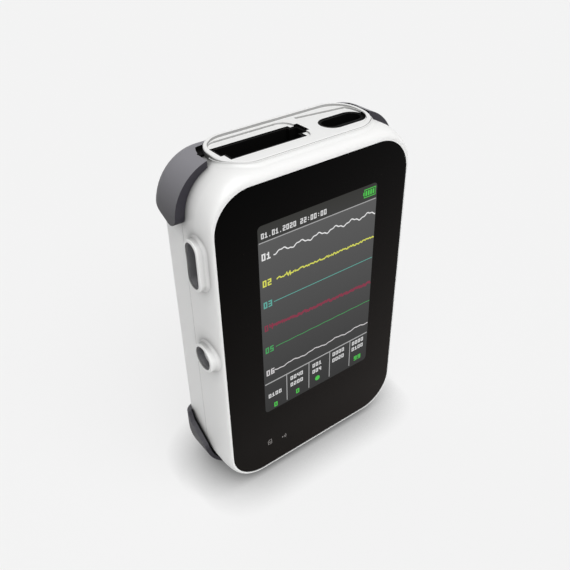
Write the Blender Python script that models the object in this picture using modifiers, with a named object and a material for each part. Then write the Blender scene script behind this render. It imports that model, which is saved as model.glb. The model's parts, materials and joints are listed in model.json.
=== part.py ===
"""Sleep apnea monitor: a hand-size sleep recorder with a display, two lead sockets,
a guarded power button, a cannula port and four corner bumpers.

Frame: X right, Y back, Z up. The origin is on the floor, below the middle of the case.
The front lens faces -Y, and the parting plane of the two shells is y = 0.
Run with: blender --background --python part.py
"""
import math

import bmesh
import bpy
from mathutils import Matrix, Vector

MM = 0.001

# Case
CASE_WIDTH = 80.6 * MM
CASE_HEIGHT = 125.0 * MM
CASE_DEPTH = 30.0 * MM
CASE_CORNER = 15.0 * MM
WALL = 2.0 * MM
PART_GAP = 0.15 * MM
SEAT_GAP = 0.2 * MM
FIT_GAP = 0.3 * MM
OVERRUN = 3.0 * MM
ARC_STEPS = 6
BEVEL_SEGMENTS = 2
BEVEL_ANGLE = math.radians(50)
SHARP_ANGLE = math.radians(35)

# Roll of the front edge: how far each side steps in, over this depth
FRONT_ROLL_DEPTH = 7.0 * MM
FRONT_INSET_SIDE = 1.7 * MM
FRONT_INSET_TOP = 3.9 * MM
FRONT_INSET_BOTTOM = 1.7 * MM
REAR_ROUND = 6.0 * MM
REAR_CORE_ROUND = 4.2 * MM
ROLL_STEPS = 4

# Overlap of the two shells: a lip on the rear shell inside a step of the front shell
LIP_LENGTH = 1.8 * MM
LIP_INSET = 1.2 * MM
STEP_INSET = 1.0 * MM

# Front lens, its adhesive frame and the wall behind it
LENS_MARGIN_SIDE = 2.1 * MM
LENS_MARGIN_TOP = 4.4 * MM
LENS_MARGIN_BOTTOM = 2.3 * MM
LENS_CORNER = 13.0 * MM
LENS_THICKNESS = 1.2 * MM
LENS_GAP = 0.15 * MM
LENS_EDGE_ROUND = 0.25 * MM
TAPE_THICKNESS = 0.3 * MM
TAPE_GAP = 0.1 * MM
TAPE_MARGIN = 0.8 * MM
TAPE_WIDTH = 3.0 * MM
FRONT_WALL = 1.6 * MM

# Display: margins of the panel inside the lens
PANEL_MARGIN_LEFT = 12.05 * MM
PANEL_MARGIN_RIGHT = 10.35 * MM
PANEL_MARGIN_TOP = 10.05 * MM
PANEL_MARGIN_BOTTOM = 23.75 * MM
PANEL_THICKNESS = 1.4 * MM
PANEL_CORNER = 1.5 * MM
FRAME_BORDER = 2.1 * MM
FRAME_THICKNESS = 1.8 * MM
RIBBON_WIDTH = 20.0 * MM
RIBBON_THICKNESS = 0.3 * MM
RIBBON_ABOVE_FRAME_END = 4.2 * MM
RIBBON_LEG = 5.2 * MM

# Raised rim on the top
RIM_LENGTH = 59.2 * MM
RIM_DEPTH = 21.8 * MM
RIM_CORNER = 10.0 * MM
RIM_X = 0.6 * MM
RIM_RISE = 2.0 * MM
RIM_FRONT_DROP = 1.2 * MM
RIM_WIDTH = 1.3 * MM
RIM_EDGE_ROUND = 0.45 * MM
RIM_DRAFT = 0.1 * MM
RIM_SINK = 1.2 * MM
RIM_FLARE = 1.5 * MM
RIM_FLARE_RISE = 1.0 * MM
RIM_FLARE_LIP = 0.3 * MM
RIM_FLARE_ROOT = 1.9 * MM
NECK_INSET = 0.9 * MM
NECK_LENGTH = 2.1 * MM

# Stepped recess inside the rim: a ledge, then a left and a right floor
LEDGE_DROP = 0.8 * MM
LEDGE_WIDTH = 1.6 * MM
LEDGE_LEFT = 0.8 * MM
FLOOR_DROP = 1.5 * MM
LEFT_FLOOR_END = 4.5 * MM
LEFT_FLOOR_CORNER = 4.5 * MM
RIGHT_FLOOR_START = 8.0 * MM
RIGHT_FLOOR_BACK = 8.1 * MM
RIGHT_FLOOR_TAPER = 4.6 * MM

# Keyed socket for the sensor leads
SENSOR_LEFT = -26.4 * MM
SENSOR_RIGHT = 3.0 * MM
SENSOR_FRONT = -5.4 * MM
SENSOR_BACK = 4.8 * MM
SENSOR_KEY_RIGHT = 5.8 * MM
SENSOR_KEY_FRONT = -2.9 * MM
SENSOR_KEY_BACK = 3.4 * MM
SENSOR_NOTCH_LENGTH = 1.4 * MM
SENSOR_NOTCH_DEPTH = 3.7 * MM
SENSOR_WALL = 1.0 * MM
SENSOR_HEIGHT = 16.0 * MM
SENSOR_BORE = 13.5 * MM
SENSOR_PIN_COLUMNS = 10
SENSOR_PIN_ROWS = 2

# Round-ended socket for the effort belts
EFFORT_X = 20.0 * MM
EFFORT_Y = -1.55 * MM
EFFORT_LENGTH = 17.2 * MM
EFFORT_DEPTH = 7.9 * MM
EFFORT_WALL = 1.2 * MM
EFFORT_HEIGHT = 13.2 * MM
EFFORT_BORE = 12.0 * MM
EFFORT_PIN_COLUMNS = 4
EFFORT_PIN_ROWS = 2

# Sleeve of each socket, up through the neck to the floor of the recess
SLEEVE_WALL = 0.8 * MM

# Contact pins of both sockets
PIN_SIZE = 0.9 * MM
PIN_LENGTH = 4.5 * MM
PIN_STRIP = 0.8 * MM
PIN_PITCH = 2.54 * MM

# Guarded power button, on the left side
BUTTON_Y = -8.1 * MM
BUTTON_BELOW_TOP = 27.6 * MM
BUTTON_MOUTH_WIDTH = 6.0 * MM
BUTTON_MOUTH_LENGTH = 16.0 * MM
BUTTON_GAP = 0.3 * MM
BUTTON_SINK = 3.0 * MM
BUTTON_DOME = 0.35 * MM
BUTTON_FLANGE = 0.4 * MM
BUTTON_FLANGE_THICKNESS = 1.0 * MM
BUTTON_TRAVEL = 0.8 * MM
COLLAR_RISE = 2.5 * MM
COLLAR_WALL = 1.0 * MM
COLLAR_FLARE = 0.7 * MM
COLLAR_ROOT = 1.4 * MM
COLLAR_ROUND = 0.4 * MM
GASKET_WALL = 0.6 * MM
GASKET_SINK = 0.5 * MM
GASKET_GAP = 0.1 * MM

# Cannula port, below the button
CANNULA_Y = -8.4 * MM
CANNULA_BELOW_TOP = 63.2 * MM
CANNULA_MOUTH_RADIUS = 4.2 * MM
CANNULA_NOSE_RADIUS = 2.9 * MM
CANNULA_NOSE_SINK = 2.0 * MM
CANNULA_BORE_RADIUS = 2.1 * MM
CANNULA_BORE_FLOOR = 0.9 * MM
CANNULA_THROAT_RADIUS = 0.9 * MM
CANNULA_WELL = 3.5 * MM
CANNULA_FLANGE_RADIUS = 4.2 * MM
CANNULA_FLANGE_THICKNESS = 1.3 * MM
CANNULA_BARB_RADIUS = 1.5 * MM
CANNULA_BARB_LENGTH = 3.2 * MM
SEAL_WIRE = 0.8 * MM
SEAL_RADIUS = 3.65 * MM

# Air tube and pressure sensor
TUBE_OUTER_RADIUS = 1.6 * MM
TUBE_INNER_RADIUS = 0.8 * MM
TUBE_END_GAP = 0.2 * MM
SENSOR_CAN = 7.0 * MM
SENSOR_CAN_HEIGHT = 3.2 * MM
SENSOR_CAN_X = -20.5 * MM
SENSOR_STUB_RADIUS = 1.2 * MM
SENSOR_STUB_LENGTH = 2.6 * MM

# Power switch
SWITCH_SIZE = 6.0 * MM
SWITCH_BODY = 3.5 * MM
PLUNGER_RADIUS = 1.6 * MM
PLUNGER_LENGTH = 3.4 * MM
PLUNGER_GAP = 0.35 * MM
PLUNGER_SHOULDER = 1.6 * MM

# Main board and what it carries
BOARD_WIDTH = 71.2 * MM
BOARD_ABOVE_BOTTOM = 25.7 * MM
BOARD_BELOW_SOCKET = 5.0 * MM
BOARD_FRONT = -4.8 * MM
BOARD_THICKNESS = 1.6 * MM
BOARD_CORNER = 3.0 * MM
PROCESSOR_SIZE = 12.0 * MM
PROCESSOR_X = -12.0 * MM
PROCESSOR_ABOVE_END = 21.5 * MM
AMPLIFIER_SIZE = 9.0 * MM
AMPLIFIER_X = -14.0 * MM
AMPLIFIER_BELOW_END = 15.2 * MM
CHIP_HEIGHT = 1.2 * MM
RADIO_WIDTH = 13.0 * MM
RADIO_LENGTH = 19.0 * MM
RADIO_HEIGHT = 2.4 * MM
RADIO_X = 20.0 * MM
RADIO_BELOW_END = 17.2 * MM
CHIP_EDGE = 0.25 * MM

# Battery in its bay
BATTERY_WIDTH = 46.0 * MM
BATTERY_THICKNESS = 7.6 * MM
BATTERY_EDGE = 1.6 * MM
BATTERY_ABOVE_BOTTOM = 27.7 * MM
BATTERY_BELOW_SOCKET = 14.7 * MM
PAD_THICKNESS = 0.8 * MM
BAY_WALL = 1.2 * MM
BAY_HEIGHT = 6.0 * MM

# Screws
CASE_SCREW_X = 31.2 * MM
CASE_SCREW_INSET = 20.8 * MM
CASE_SCREW_HEAD_RADIUS = 2.3 * MM
CASE_SCREW_HEAD = 1.8 * MM
CASE_SCREW_SINK = 1.2 * MM
CASE_SCREW_RADIUS = 1.2 * MM
CASE_SCREW_LENGTH = 16.0 * MM
CASE_BOSS_RADIUS = 3.2 * MM
CASE_BOSS_FRONT = -9.5 * MM
GUSSET_WIDTH = 2.4 * MM
GUSSET_FRONT = -4.2 * MM
BOARD_SCREW_X = 33.0 * MM
BOARD_SCREW_ABOVE_END = 5.0 * MM
BOARD_SCREW_BELOW_END = 17.2 * MM
BOARD_SCREW_HEAD_RADIUS = 1.9 * MM
BOARD_SCREW_HEAD = 1.2 * MM
BOARD_SCREW_RADIUS = 0.9 * MM
BOARD_SCREW_LENGTH = 6.0 * MM
BOARD_BOSS_RADIUS = 2.4 * MM
SLOT_WIDTH = 0.7 * MM
SLOT_DEPTH = 0.7 * MM
ROUND_SEGMENTS = 20

# Corner bumpers
BUMPER_TOP_SIDE = 3.4 * MM
BUMPER_TOP_RISE = 1.6 * MM
BUMPER_TOP_CORNER = 17.0 * MM
BUMPER_FOOT_SIDE = 2.6 * MM
BUMPER_FOOT_DROP = 2.2 * MM
BUMPER_FOOT_CORNER = 18.0 * MM
BUMPER_FOOT_LEG = 23.2 * MM
BUMPER_FRONT = -2.5 * MM
BUMPER_REAR_DEPTH = 8.0 * MM
BUMPER_REAR_COVER = 1.3 * MM
BUMPER_SLANT_START = 12.2 * MM
BUMPER_SLANT_RISE = 10.4 * MM
BUMPER_SLANT_DEPTH = 11.0 * MM
BUMPER_SLANT_SHARES = ((0, 0), (0.12, 0.2), (0.35, 0.36), (0.53, 0.48), (0.72, 0.61), (0.89, 0.74), (1, 1))
BUMPER_LEG = 17.3 * MM
BUMPER_LEG_ROUND = 3.5 * MM
BUMPER_END_SLANT = math.radians(24)
BUMPER_INNER_X = 31.3 * MM
BUMPER_REAR_INNER_X = 23.5 * MM
BUMPER_FOOT_INNER_X = 19.0 * MM
BUMPER_EDGE = 0.5 * MM
BUMPER_SLOT_WIDTH = 2.2 * MM
BUMPER_SLOT_BACK = 7.0 * MM
BUMPER_WEB = 0.3 * MM

# Levels worked out from the sizes above
FRONT = -CASE_DEPTH / 2
REAR = CASE_DEPTH / 2
SIDE = CASE_WIDTH / 2
BOTTOM = BUMPER_FOOT_DROP
TOP = BOTTOM + CASE_HEIGHT
MIDDLE = (TOP + BOTTOM) / 2
INNER_SIDE = SIDE - WALL
LENS_BACK = FRONT + LENS_THICKNESS
LENS_SEAT = LENS_BACK + TAPE_THICKNESS + 2 * TAPE_GAP
WALL_BACK = LENS_SEAT + FRONT_WALL
LENS_SIDE = SIDE - LENS_MARGIN_SIDE
LENS_LOW = BOTTOM + LENS_MARGIN_BOTTOM
LENS_HIGH = TOP - LENS_MARGIN_TOP
PANEL_LEFT = PANEL_MARGIN_LEFT - LENS_SIDE
PANEL_RIGHT = LENS_SIDE - PANEL_MARGIN_RIGHT
PANEL_LOW = LENS_LOW + PANEL_MARGIN_BOTTOM
PANEL_HIGH = LENS_HIGH - PANEL_MARGIN_TOP
REAR_INNER = REAR - WALL
BOARD_BACK = BOARD_FRONT + BOARD_THICKNESS
RIM_TOP = TOP + RIM_RISE
RIM_FOOT = TOP - RIM_SINK
RECESS_FLOOR = RIM_TOP - FLOOR_DROP
NECK_BOTTOM = RIM_FOOT - NECK_LENGTH
SOCKET_SHOULDER = NECK_BOTTOM - FIT_GAP
SLEEVE_TOP = RECESS_FLOOR - SEAT_GAP
SENSOR_BOTTOM = SOCKET_SHOULDER - SENSOR_HEIGHT
BUTTON_Z = TOP - BUTTON_BELOW_TOP
CANNULA_Z = TOP - CANNULA_BELOW_TOP
COLLAR_TOP = -SIDE - COLLAR_RISE
PAD_BACK = REAR_INNER - SEAT_GAP
BATTERY_BACK = PAD_BACK - PAD_THICKNESS - SEAT_GAP
BATTERY_FRONT = BATTERY_BACK - BATTERY_THICKNESS
BATTERY_LOW = BOTTOM + BATTERY_ABOVE_BOTTOM
BATTERY_HIGH = SENSOR_BOTTOM - BATTERY_BELOW_SOCKET
BOARD_LOW = BOTTOM + BOARD_ABOVE_BOTTOM
BOARD_HIGH = SENSOR_BOTTOM - BOARD_BELOW_SOCKET

WHITE = ("white_abs", (0.86, 0.86, 0.86), 0.28, 0.0)
BLACK_LENS = ("black_lens", (0.004, 0.004, 0.004), 0.06, 0.0)
DISPLAY = ("display_glass", (0.03, 0.032, 0.034), 0.15, 0.0)
TAPE = ("black_tape", (0.01, 0.01, 0.01), 0.8, 0.0)
TRAY = ("pressed_steel", (0.5, 0.5, 0.5), 0.35, 1.0)
POLYIMIDE = ("amber_film", (0.42, 0.19, 0.03), 0.4, 0.0)
SOCKET = ("black_nylon", (0.006, 0.006, 0.006), 0.55, 0.0)
BRASS = ("gilt_brass", (0.71, 0.5, 0.2), 0.3, 1.0)
KEY = ("grey_key", (0.42, 0.42, 0.42), 0.4, 0.0)
RUBBER = ("grey_elastomer", (0.105, 0.105, 0.12), 0.62, 0.0)
SEAL = ("black_silicone", (0.012, 0.012, 0.012), 0.6, 0.0)
CLEAR_TUBE = ("milky_silicone", (0.6, 0.62, 0.6), 0.4, 0.0)
BOARD = ("green_board", (0.01, 0.12, 0.05), 0.4, 0.0)
CHIP = ("black_epoxy", (0.012, 0.012, 0.013), 0.5, 0.0)
CELL = ("silver_pouch", (0.55, 0.56, 0.58), 0.4, 0.7)
FOAM = ("grey_foam", (0.1, 0.1, 0.1), 0.9, 0.0)
STEEL = ("zinc_steel", (0.62, 0.62, 0.6), 0.3, 1.0)

# How each flat outline is turned: its own x and y, and the way it is thickened
SEEN_FROM_FRONT = Matrix(((1, 0, 0), (0, 0, 1), (0, 1, 0))).to_4x4()
SEEN_FROM_TOP = Matrix.Identity(4)
SEEN_FROM_SIDE = Matrix(((0, 0, 1), (1, 0, 0), (0, 1, 0))).to_4x4()


def clear_scene():
    for old in list(bpy.data.objects):
        bpy.data.objects.remove(old, do_unlink=True)


def new_collection(name):
    made = bpy.data.collections.new(name)
    bpy.context.scene.collection.children.link(made)
    return made


def material(look):
    name, colour, roughness, metallic = look
    made = bpy.data.materials.get(name) or bpy.data.materials.new(name)
    made.use_nodes = True
    made.diffuse_color = (*colour, 1.0)
    shader = made.node_tree.nodes["Principled BSDF"]
    shader.inputs["Base Color"].default_value = (*colour, 1.0)
    shader.inputs["Roughness"].default_value = roughness
    shader.inputs["Metallic"].default_value = metallic
    return made


def arc_points(centre, radius_u, radius_v, start, turn):
    """Points of an arc about centre, both ends included."""
    angles = (start + turn * step / ARC_STEPS for step in range(ARC_STEPS + 1))
    return [(centre[0] + radius_u * math.cos(a), centre[1] + radius_v * math.sin(a)) for a in angles]


def rounded_outline(left, right, low, high, radius, inset=(0, 0, 0)):
    """Rounded rectangle. The inset draws in the sides, the top and the bottom about
    corner centres that stay, so that nested outlines have matching points."""
    side, above, below = inset
    outline = []
    corners = ((right, high, above), (left, high, above), (left, low, below), (right, low, below))
    for quarter, (u, v, drawn) in enumerate(corners):
        centre_u = u - radius if u == right else u + radius
        centre_v = v - radius if v == high else v + radius
        start = quarter * math.pi / 2
        outline += arc_points((centre_u, centre_v), radius - side, radius - drawn, start, math.pi / 2)
    return outline


def case_outline(side=0, above=None, below=None):
    above = side if above is None else above
    below = side if below is None else below
    return rounded_outline(-SIDE, SIDE, BOTTOM, TOP, CASE_CORNER, (side, above, below))


def centred_outline(centre, width, height, radius, grow=0):
    u, v = centre
    half_u = width / 2 + grow
    half_v = height / 2 + grow
    return rounded_outline(u - half_u, u + half_u, v - half_v, v + half_v, radius + grow)


def round_ended_outline(centre, width, height, grow=0):
    """Outline with two half-round ends, long in the larger direction."""
    u, v = centre
    radius = min(width, height) / 2 + grow
    straight_u = max(width - height, 0) / 2
    straight_v = max(height - width, 0) / 2
    outline = []
    for quarter, (sign_u, sign_v) in enumerate(((1, 1), (-1, 1), (-1, -1), (1, -1))):
        centre_arc = (u + sign_u * straight_u, v + sign_v * straight_v)
        outline += arc_points(centre_arc, radius, radius, quarter * math.pi / 2, math.pi / 2)
    kept = []
    for point in outline:
        if not kept or (Vector(point) - Vector(kept[-1])).length > SEAT_GAP / 100:
            kept.append(point)
    if (Vector(kept[0]) - Vector(kept[-1])).length <= SEAT_GAP / 100:
        kept.pop()
    return kept


class Shop:
    """Keeps the two collections, and makes the basic shapes."""

    def __init__(self):
        self.parts = new_collection("sleep_apnea_monitor")
        self.cutters = new_collection("cutters")

    def add(self, name, mesh, matrix=None):
        made = bpy.data.objects.new(name, mesh)
        if matrix is not None:
            made.matrix_world = matrix
        self.cutters.objects.link(made)
        made.hide_render = True
        made.display_type = "WIRE"
        return made

    def keep(self, made, look):
        """Moves a finished shape among the parts, with its material."""
        for group in list(made.users_collection):
            group.objects.unlink(made)
        self.parts.objects.link(made)
        made.hide_render = False
        made.display_type = "TEXTURED"
        made.data.materials.clear()
        made.data.materials.append(material(look))
        return made

    def loft(self, name, outlines, levels, turn):
        """Skin through flat outlines of equal counts, one at each level of thickness."""
        rings = [[(u, v, level) for u, v in outline] for outline, level in zip(outlines, levels)]
        return self.skin(name, rings, turn)

    def skin(self, name, loops, turn):
        """Closed skin through loops of equal counts, with both end loops filled."""
        shell = bmesh.new()
        rings = [[shell.verts.new(point) for point in loop] for loop in loops]
        for lower, upper in zip(rings, rings[1:]):
            for index in range(len(lower)):
                after = (index + 1) % len(lower)
                shell.faces.new((lower[index], lower[after], upper[after], upper[index]))
        shell.faces.new(list(reversed(rings[0])))
        shell.faces.new(rings[-1])
        return self.from_bmesh(name, shell, turn)

    def from_bmesh(self, name, shape, turn):
        bmesh.ops.transform(shape, matrix=turn, verts=shape.verts)
        bmesh.ops.recalc_face_normals(shape, faces=shape.faces)
        mesh = bpy.data.meshes.new(name)
        shape.to_mesh(mesh)
        shape.free()
        return self.add(name, mesh)

    def flat(self, name, outline, low, high, turn):
        """Flat outline as a filled 2D curve, thickened from low to high, then a mesh."""
        curve = bpy.data.curves.new(name, "CURVE")
        curve.dimensions = "2D"
        curve.fill_mode = "BOTH"
        curve.extrude = (high - low) / 2
        spline = curve.splines.new("POLY")
        spline.points.add(len(outline) - 1)
        for point, (u, v) in zip(spline.points, outline):
            point.co = (u, v, 0, 1)
        spline.use_cyclic_u = True
        drawn = bpy.data.objects.new(name + "_outline", curve)
        self.cutters.objects.link(drawn)
        bpy.context.view_layer.update()
        evaluated = drawn.evaluated_get(bpy.context.evaluated_depsgraph_get())
        mesh = bpy.data.meshes.new_from_object(evaluated)
        bpy.data.objects.remove(drawn, do_unlink=True)
        shape = bmesh.new()
        shape.from_mesh(mesh)
        bmesh.ops.remove_doubles(shape, verts=shape.verts, dist=SEAT_GAP / 100)
        bmesh.ops.translate(shape, vec=(0, 0, (high + low) / 2), verts=shape.verts)
        bpy.data.meshes.remove(mesh)
        return self.from_bmesh(name, shape, turn)

    def cylinder(self, name, centre, radius, low, high, turn):
        """Round bar along the thickness direction, from low to high."""
        shape = bmesh.new()
        bmesh.ops.create_cone(shape, cap_ends=True, segments=ROUND_SEGMENTS, radius1=radius,
                              radius2=radius, depth=high - low)
        bmesh.ops.translate(shape, vec=(centre[0], centre[1], (high + low) / 2), verts=shape.verts)
        return self.from_bmesh(name, shape, turn)

    def box(self, name, lows, highs, edge=0):
        shape = bmesh.new()
        bmesh.ops.create_cube(shape, size=1)
        size = [high - low for low, high in zip(lows, highs)]
        middle = [(high + low) / 2 for low, high in zip(lows, highs)]
        bmesh.ops.scale(shape, vec=size, verts=shape.verts)
        bmesh.ops.translate(shape, vec=middle, verts=shape.verts)
        made = self.from_bmesh(name, shape, SEEN_FROM_TOP)
        if edge:
            round_edges(made, edge)
        return made

    def turned(self, name, profile, place):
        """Revolves a closed profile of (radius, height) about Z, then puts it in place."""
        mesh = bpy.data.meshes.new(name)
        shape = bmesh.new()
        corners = [shape.verts.new((radius, 0, height)) for radius, height in profile]
        for index, corner in enumerate(corners):
            shape.edges.new((corner, corners[(index + 1) % len(corners)]))
        shape.to_mesh(mesh)
        shape.free()
        made = self.add(name, mesh, place)
        screw = made.modifiers.new("revolve", "SCREW")
        screw.steps = ROUND_SEGMENTS
        screw.render_steps = ROUND_SEGMENTS
        screw.use_merge_vertices = True
        screw.merge_threshold = MM / 100
        return made


def cut(target, cutter):
    add_boolean(target, cutter, "DIFFERENCE")


def join(target, addition):
    add_boolean(target, addition, "UNION")


def crop(target, keeper):
    add_boolean(target, keeper, "INTERSECT")


def add_boolean(target, operand, operation):
    step = target.modifiers.new(operand.name, "BOOLEAN")
    step.operation = operation
    step.solver = "EXACT"
    step.object = operand


def round_edges(made, width):
    bevel = made.modifiers.new("rounded_edges", "BEVEL")
    bevel.width = width
    bevel.segments = BEVEL_SEGMENTS
    bevel.limit_method = "ANGLE"
    bevel.angle_limit = BEVEL_ANGLE


def quarter_shares():
    """Shares of a quarter-round edge: (along the depth, drawn in), from the face to the side."""
    shares = []
    for step in range(ROLL_STEPS + 1):
        angle = math.pi / 2 * step / ROLL_STEPS
        shares.append((1 - math.cos(angle), 1 - math.sin(angle)))
    return shares


def front_blank(shop):
    """Outer form of the front half, with its rolled front edge."""
    outlines = []
    levels = []
    for along, drawn in quarter_shares():
        levels.append(FRONT + FRONT_ROLL_DEPTH * along)
        outlines.append(case_outline(FRONT_INSET_SIDE * drawn, FRONT_INSET_TOP * drawn,
                                     FRONT_INSET_BOTTOM * drawn))
    levels.append(-PART_GAP / 2)
    outlines.append(case_outline())
    return shop.loft("front_shell", outlines, levels, SEEN_FROM_FRONT)


def rear_stations(start, end, radius, base_inset):
    """Outlines and levels of a rear half with a round edge of the given radius."""
    levels = [start]
    outlines = [case_outline(base_inset)]
    for along, drawn in reversed(quarter_shares()):
        levels.append(end - radius * along)
        outlines.append(case_outline(base_inset + radius * drawn))
    return outlines, levels


def roll_share(distance, depth):
    """Share of a quarter-round edge that is drawn in, at a distance from its face."""
    return 1 - math.sqrt(1 - max(1 - distance / depth, 0) ** 2)


def case_side(y):
    """Distance of the case's side from the middle plane, at depth y."""
    return SIDE - FRONT_INSET_SIDE * roll_share(y - FRONT, FRONT_ROLL_DEPTH)


def case_top(x, y):
    """Height of the case's top surface at a place on it."""
    front = roll_share(y - FRONT, FRONT_ROLL_DEPTH)
    rear = roll_share(REAR - y, REAR_ROUND)
    across = CASE_CORNER - FRONT_INSET_SIDE * front - REAR_ROUND * rear
    upward = CASE_CORNER - FRONT_INSET_TOP * front - REAR_ROUND * rear
    past = max(abs(x) - SIDE + CASE_CORNER, 0) / across
    return TOP - CASE_CORNER + upward * math.sqrt(1 - past ** 2)


def collar(shop, name, outline_at):
    """Raised collar on the left side, with a flared foot that follows the case's surface."""
    loops = []
    for share, drawn in reversed(quarter_shares()):
        outline = outline_at(COLLAR_WALL - COLLAR_ROUND * share)
        loops.append([(u, v, COLLAR_TOP + COLLAR_ROUND * drawn) for u, v in outline])
    for along, drawn in reversed(quarter_shares()):
        outline = outline_at(COLLAR_WALL + COLLAR_FLARE * drawn)
        loops.append([(u, v, -case_side(u) - COLLAR_FLARE * along + SEAT_GAP / 2) for u, v in outline])
    loops.append([(u, v, COLLAR_ROOT - SIDE) for u, v in outline_at(COLLAR_WALL + COLLAR_FLARE)])
    return shop.skin(name, loops, SEEN_FROM_SIDE)


def button_outline(grow=0):
    return round_ended_outline((BUTTON_Y, BUTTON_Z), BUTTON_MOUTH_WIDTH, BUTTON_MOUTH_LENGTH, grow)


def cannula_outline(grow=0):
    across = 2 * CANNULA_MOUTH_RADIUS
    return round_ended_outline((CANNULA_Y, CANNULA_Z), across, across, grow)


def rim_outline(grow=0):
    return centred_outline((RIM_X, 0), RIM_LENGTH, RIM_DEPTH, RIM_CORNER, grow)


def lens_outline(grow=0):
    return rounded_outline(-LENS_SIDE - grow, LENS_SIDE + grow, LENS_LOW - grow, LENS_HIGH + grow,
                           LENS_CORNER + grow)


def panel_outline(grow=0):
    return rounded_outline(PANEL_LEFT - grow, PANEL_RIGHT + grow, PANEL_LOW - grow, PANEL_HIGH + grow,
                           PANEL_CORNER + grow)


def case_screw_places():
    return [(sign_x * CASE_SCREW_X, MIDDLE + sign_z * (CASE_HEIGHT / 2 - CASE_SCREW_INSET))
            for sign_z in (1, -1) for sign_x in (-1, 1)]


def board_screw_places():
    heights = (BOARD_HIGH - BOARD_SCREW_BELOW_END, BOARD_LOW + BOARD_SCREW_ABOVE_END)
    return [(sign_x * BOARD_SCREW_X, height) for height in heights for sign_x in (-1, 1)]


def cut_rim_seat(shop, shell):
    """Pocket for the rim's foot, and the opening for the neck below it."""
    pocket = shop.flat(shell.name + "_rim_pocket", rim_outline(RIM_DRAFT + SEAT_GAP),
                       RIM_FOOT - SEAT_GAP, RIM_TOP + OVERRUN, SEEN_FROM_TOP)
    opening = shop.flat(shell.name + "_neck_opening", rim_outline(SEAT_GAP - NECK_INSET),
                        NECK_BOTTOM - OVERRUN, RIM_TOP + OVERRUN, SEEN_FROM_TOP)
    cut(shell, pocket)
    cut(shell, opening)


def join_rim_flare(shop, shell):
    """Flared foot around the front of the rim, following the case's surface."""
    inner = RIM_DRAFT + SEAT_GAP + RIM_FLARE_LIP
    rise = -SEAT_GAP / 2
    loops = [[(x, y, TOP - RIM_FLARE_ROOT) for x, y in rim_outline(inner + RIM_FLARE)]]
    for along, drawn in quarter_shares():
        rise = RIM_FLARE_RISE * along - SEAT_GAP / 2
        loops.append([(x, y, case_top(x, y) + rise) for x, y in rim_outline(inner + RIM_FLARE * drawn)])
    loops.append([(x, y, case_top(x, y) + rise) for x, y in rim_outline(RIM_DRAFT)])
    loops.append([(x, y, RIM_TOP) for x, y in rim_outline(0)])
    flare = shop.skin("rim_flare", loops, SEEN_FROM_TOP)
    crop(flare, shop.box("rim_flare_front", (-SIDE, FRONT, RIM_FOOT - OVERRUN),
                         (SIDE, -PART_GAP / 2 - SEAT_GAP / 4, RIM_TOP + OVERRUN)))
    join(shell, flare)


def make_front_shell(shop):
    shell = front_blank(shop)
    join_rim_flare(shop, shell)
    cut(shell, shop.flat("lens_recess", lens_outline(LENS_GAP), FRONT - OVERRUN, LENS_SEAT, SEEN_FROM_FRONT))
    cut(shell, shop.flat("screen_window", panel_outline(FIT_GAP), FRONT - OVERRUN, WALL_BACK + OVERRUN,
                         SEEN_FROM_FRONT))
    cut(shell, shop.flat("front_cavity", case_outline(WALL), WALL_BACK, OVERRUN, SEEN_FROM_FRONT))
    step_start = -PART_GAP / 2 - LIP_LENGTH - SEAT_GAP
    cut(shell, shop.flat("lip_step", case_outline(STEP_INSET), step_start, OVERRUN, SEEN_FROM_FRONT))
    join(shell, collar(shop, "button_collar", button_outline))
    cut(shell, shop.flat("button_mouth", button_outline(), COLLAR_TOP - OVERRUN, FIT_GAP - INNER_SIDE,
                         SEEN_FROM_SIDE))
    join(shell, collar(shop, "cannula_collar", cannula_outline))
    cut(shell, shop.flat("cannula_well", cannula_outline(), COLLAR_TOP - OVERRUN, COLLAR_TOP + CANNULA_WELL,
                         SEEN_FROM_SIDE))
    axis = (CANNULA_Y, CANNULA_Z)
    cut(shell, shop.cylinder("cannula_hole", axis, CANNULA_NOSE_RADIUS + SEAT_GAP, COLLAR_TOP,
                             OVERRUN - INNER_SIDE, SEEN_FROM_SIDE))
    cut(shell, shop.cylinder("cannula_relief", axis, CANNULA_FLANGE_RADIUS + SEAT_GAP,
                             SEAT_GAP / 2 - INNER_SIDE, 2 * OVERRUN - INNER_SIDE, SEEN_FROM_SIDE))
    for number, place in enumerate(case_screw_places()):
        join_case_boss(shop, shell, number, place)
    for number, place in enumerate(board_screw_places()):
        boss = shop.cylinder(f"board_boss_{number}", place, BOARD_BOSS_RADIUS, WALL_BACK - FRONT_WALL / 2,
                             BOARD_FRONT - FIT_GAP, SEEN_FROM_FRONT)
        join(shell, boss)
        pilot = shop.cylinder(f"board_pilot_{number}", place, BOARD_SCREW_RADIUS + SEAT_GAP,
                              BOARD_BACK - BOARD_SCREW_LENGTH - SEAT_GAP, 0, SEEN_FROM_FRONT)
        cut(shell, pilot)
    cut_rim_seat(shop, shell)
    return shop.keep(shell, WHITE)


def join_case_boss(shop, shell, number, place):
    """Screw boss behind the display, tied to the side wall by a gusset."""
    x, z = place
    end = -PART_GAP / 2 - LIP_LENGTH
    boss = shop.cylinder(f"case_boss_{number}", place, CASE_BOSS_RADIUS, CASE_BOSS_FRONT, end,
                         SEEN_FROM_FRONT)
    outer = math.copysign(INNER_SIDE + STEP_INSET / 2, x)
    gusset = shop.box(f"case_gusset_{number}",
                      (min(x, outer), GUSSET_FRONT, z - GUSSET_WIDTH / 2),
                      (max(x, outer), end - SEAT_GAP, z + GUSSET_WIDTH / 2))
    join(shell, boss)
    join(shell, gusset)
    screw_tip = REAR - CASE_SCREW_SINK - CASE_SCREW_HEAD - CASE_SCREW_LENGTH
    cut(shell, shop.cylinder(f"case_pilot_{number}", place, CASE_SCREW_RADIUS + SEAT_GAP,
                             screw_tip - FIT_GAP, OVERRUN, SEEN_FROM_FRONT))


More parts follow.
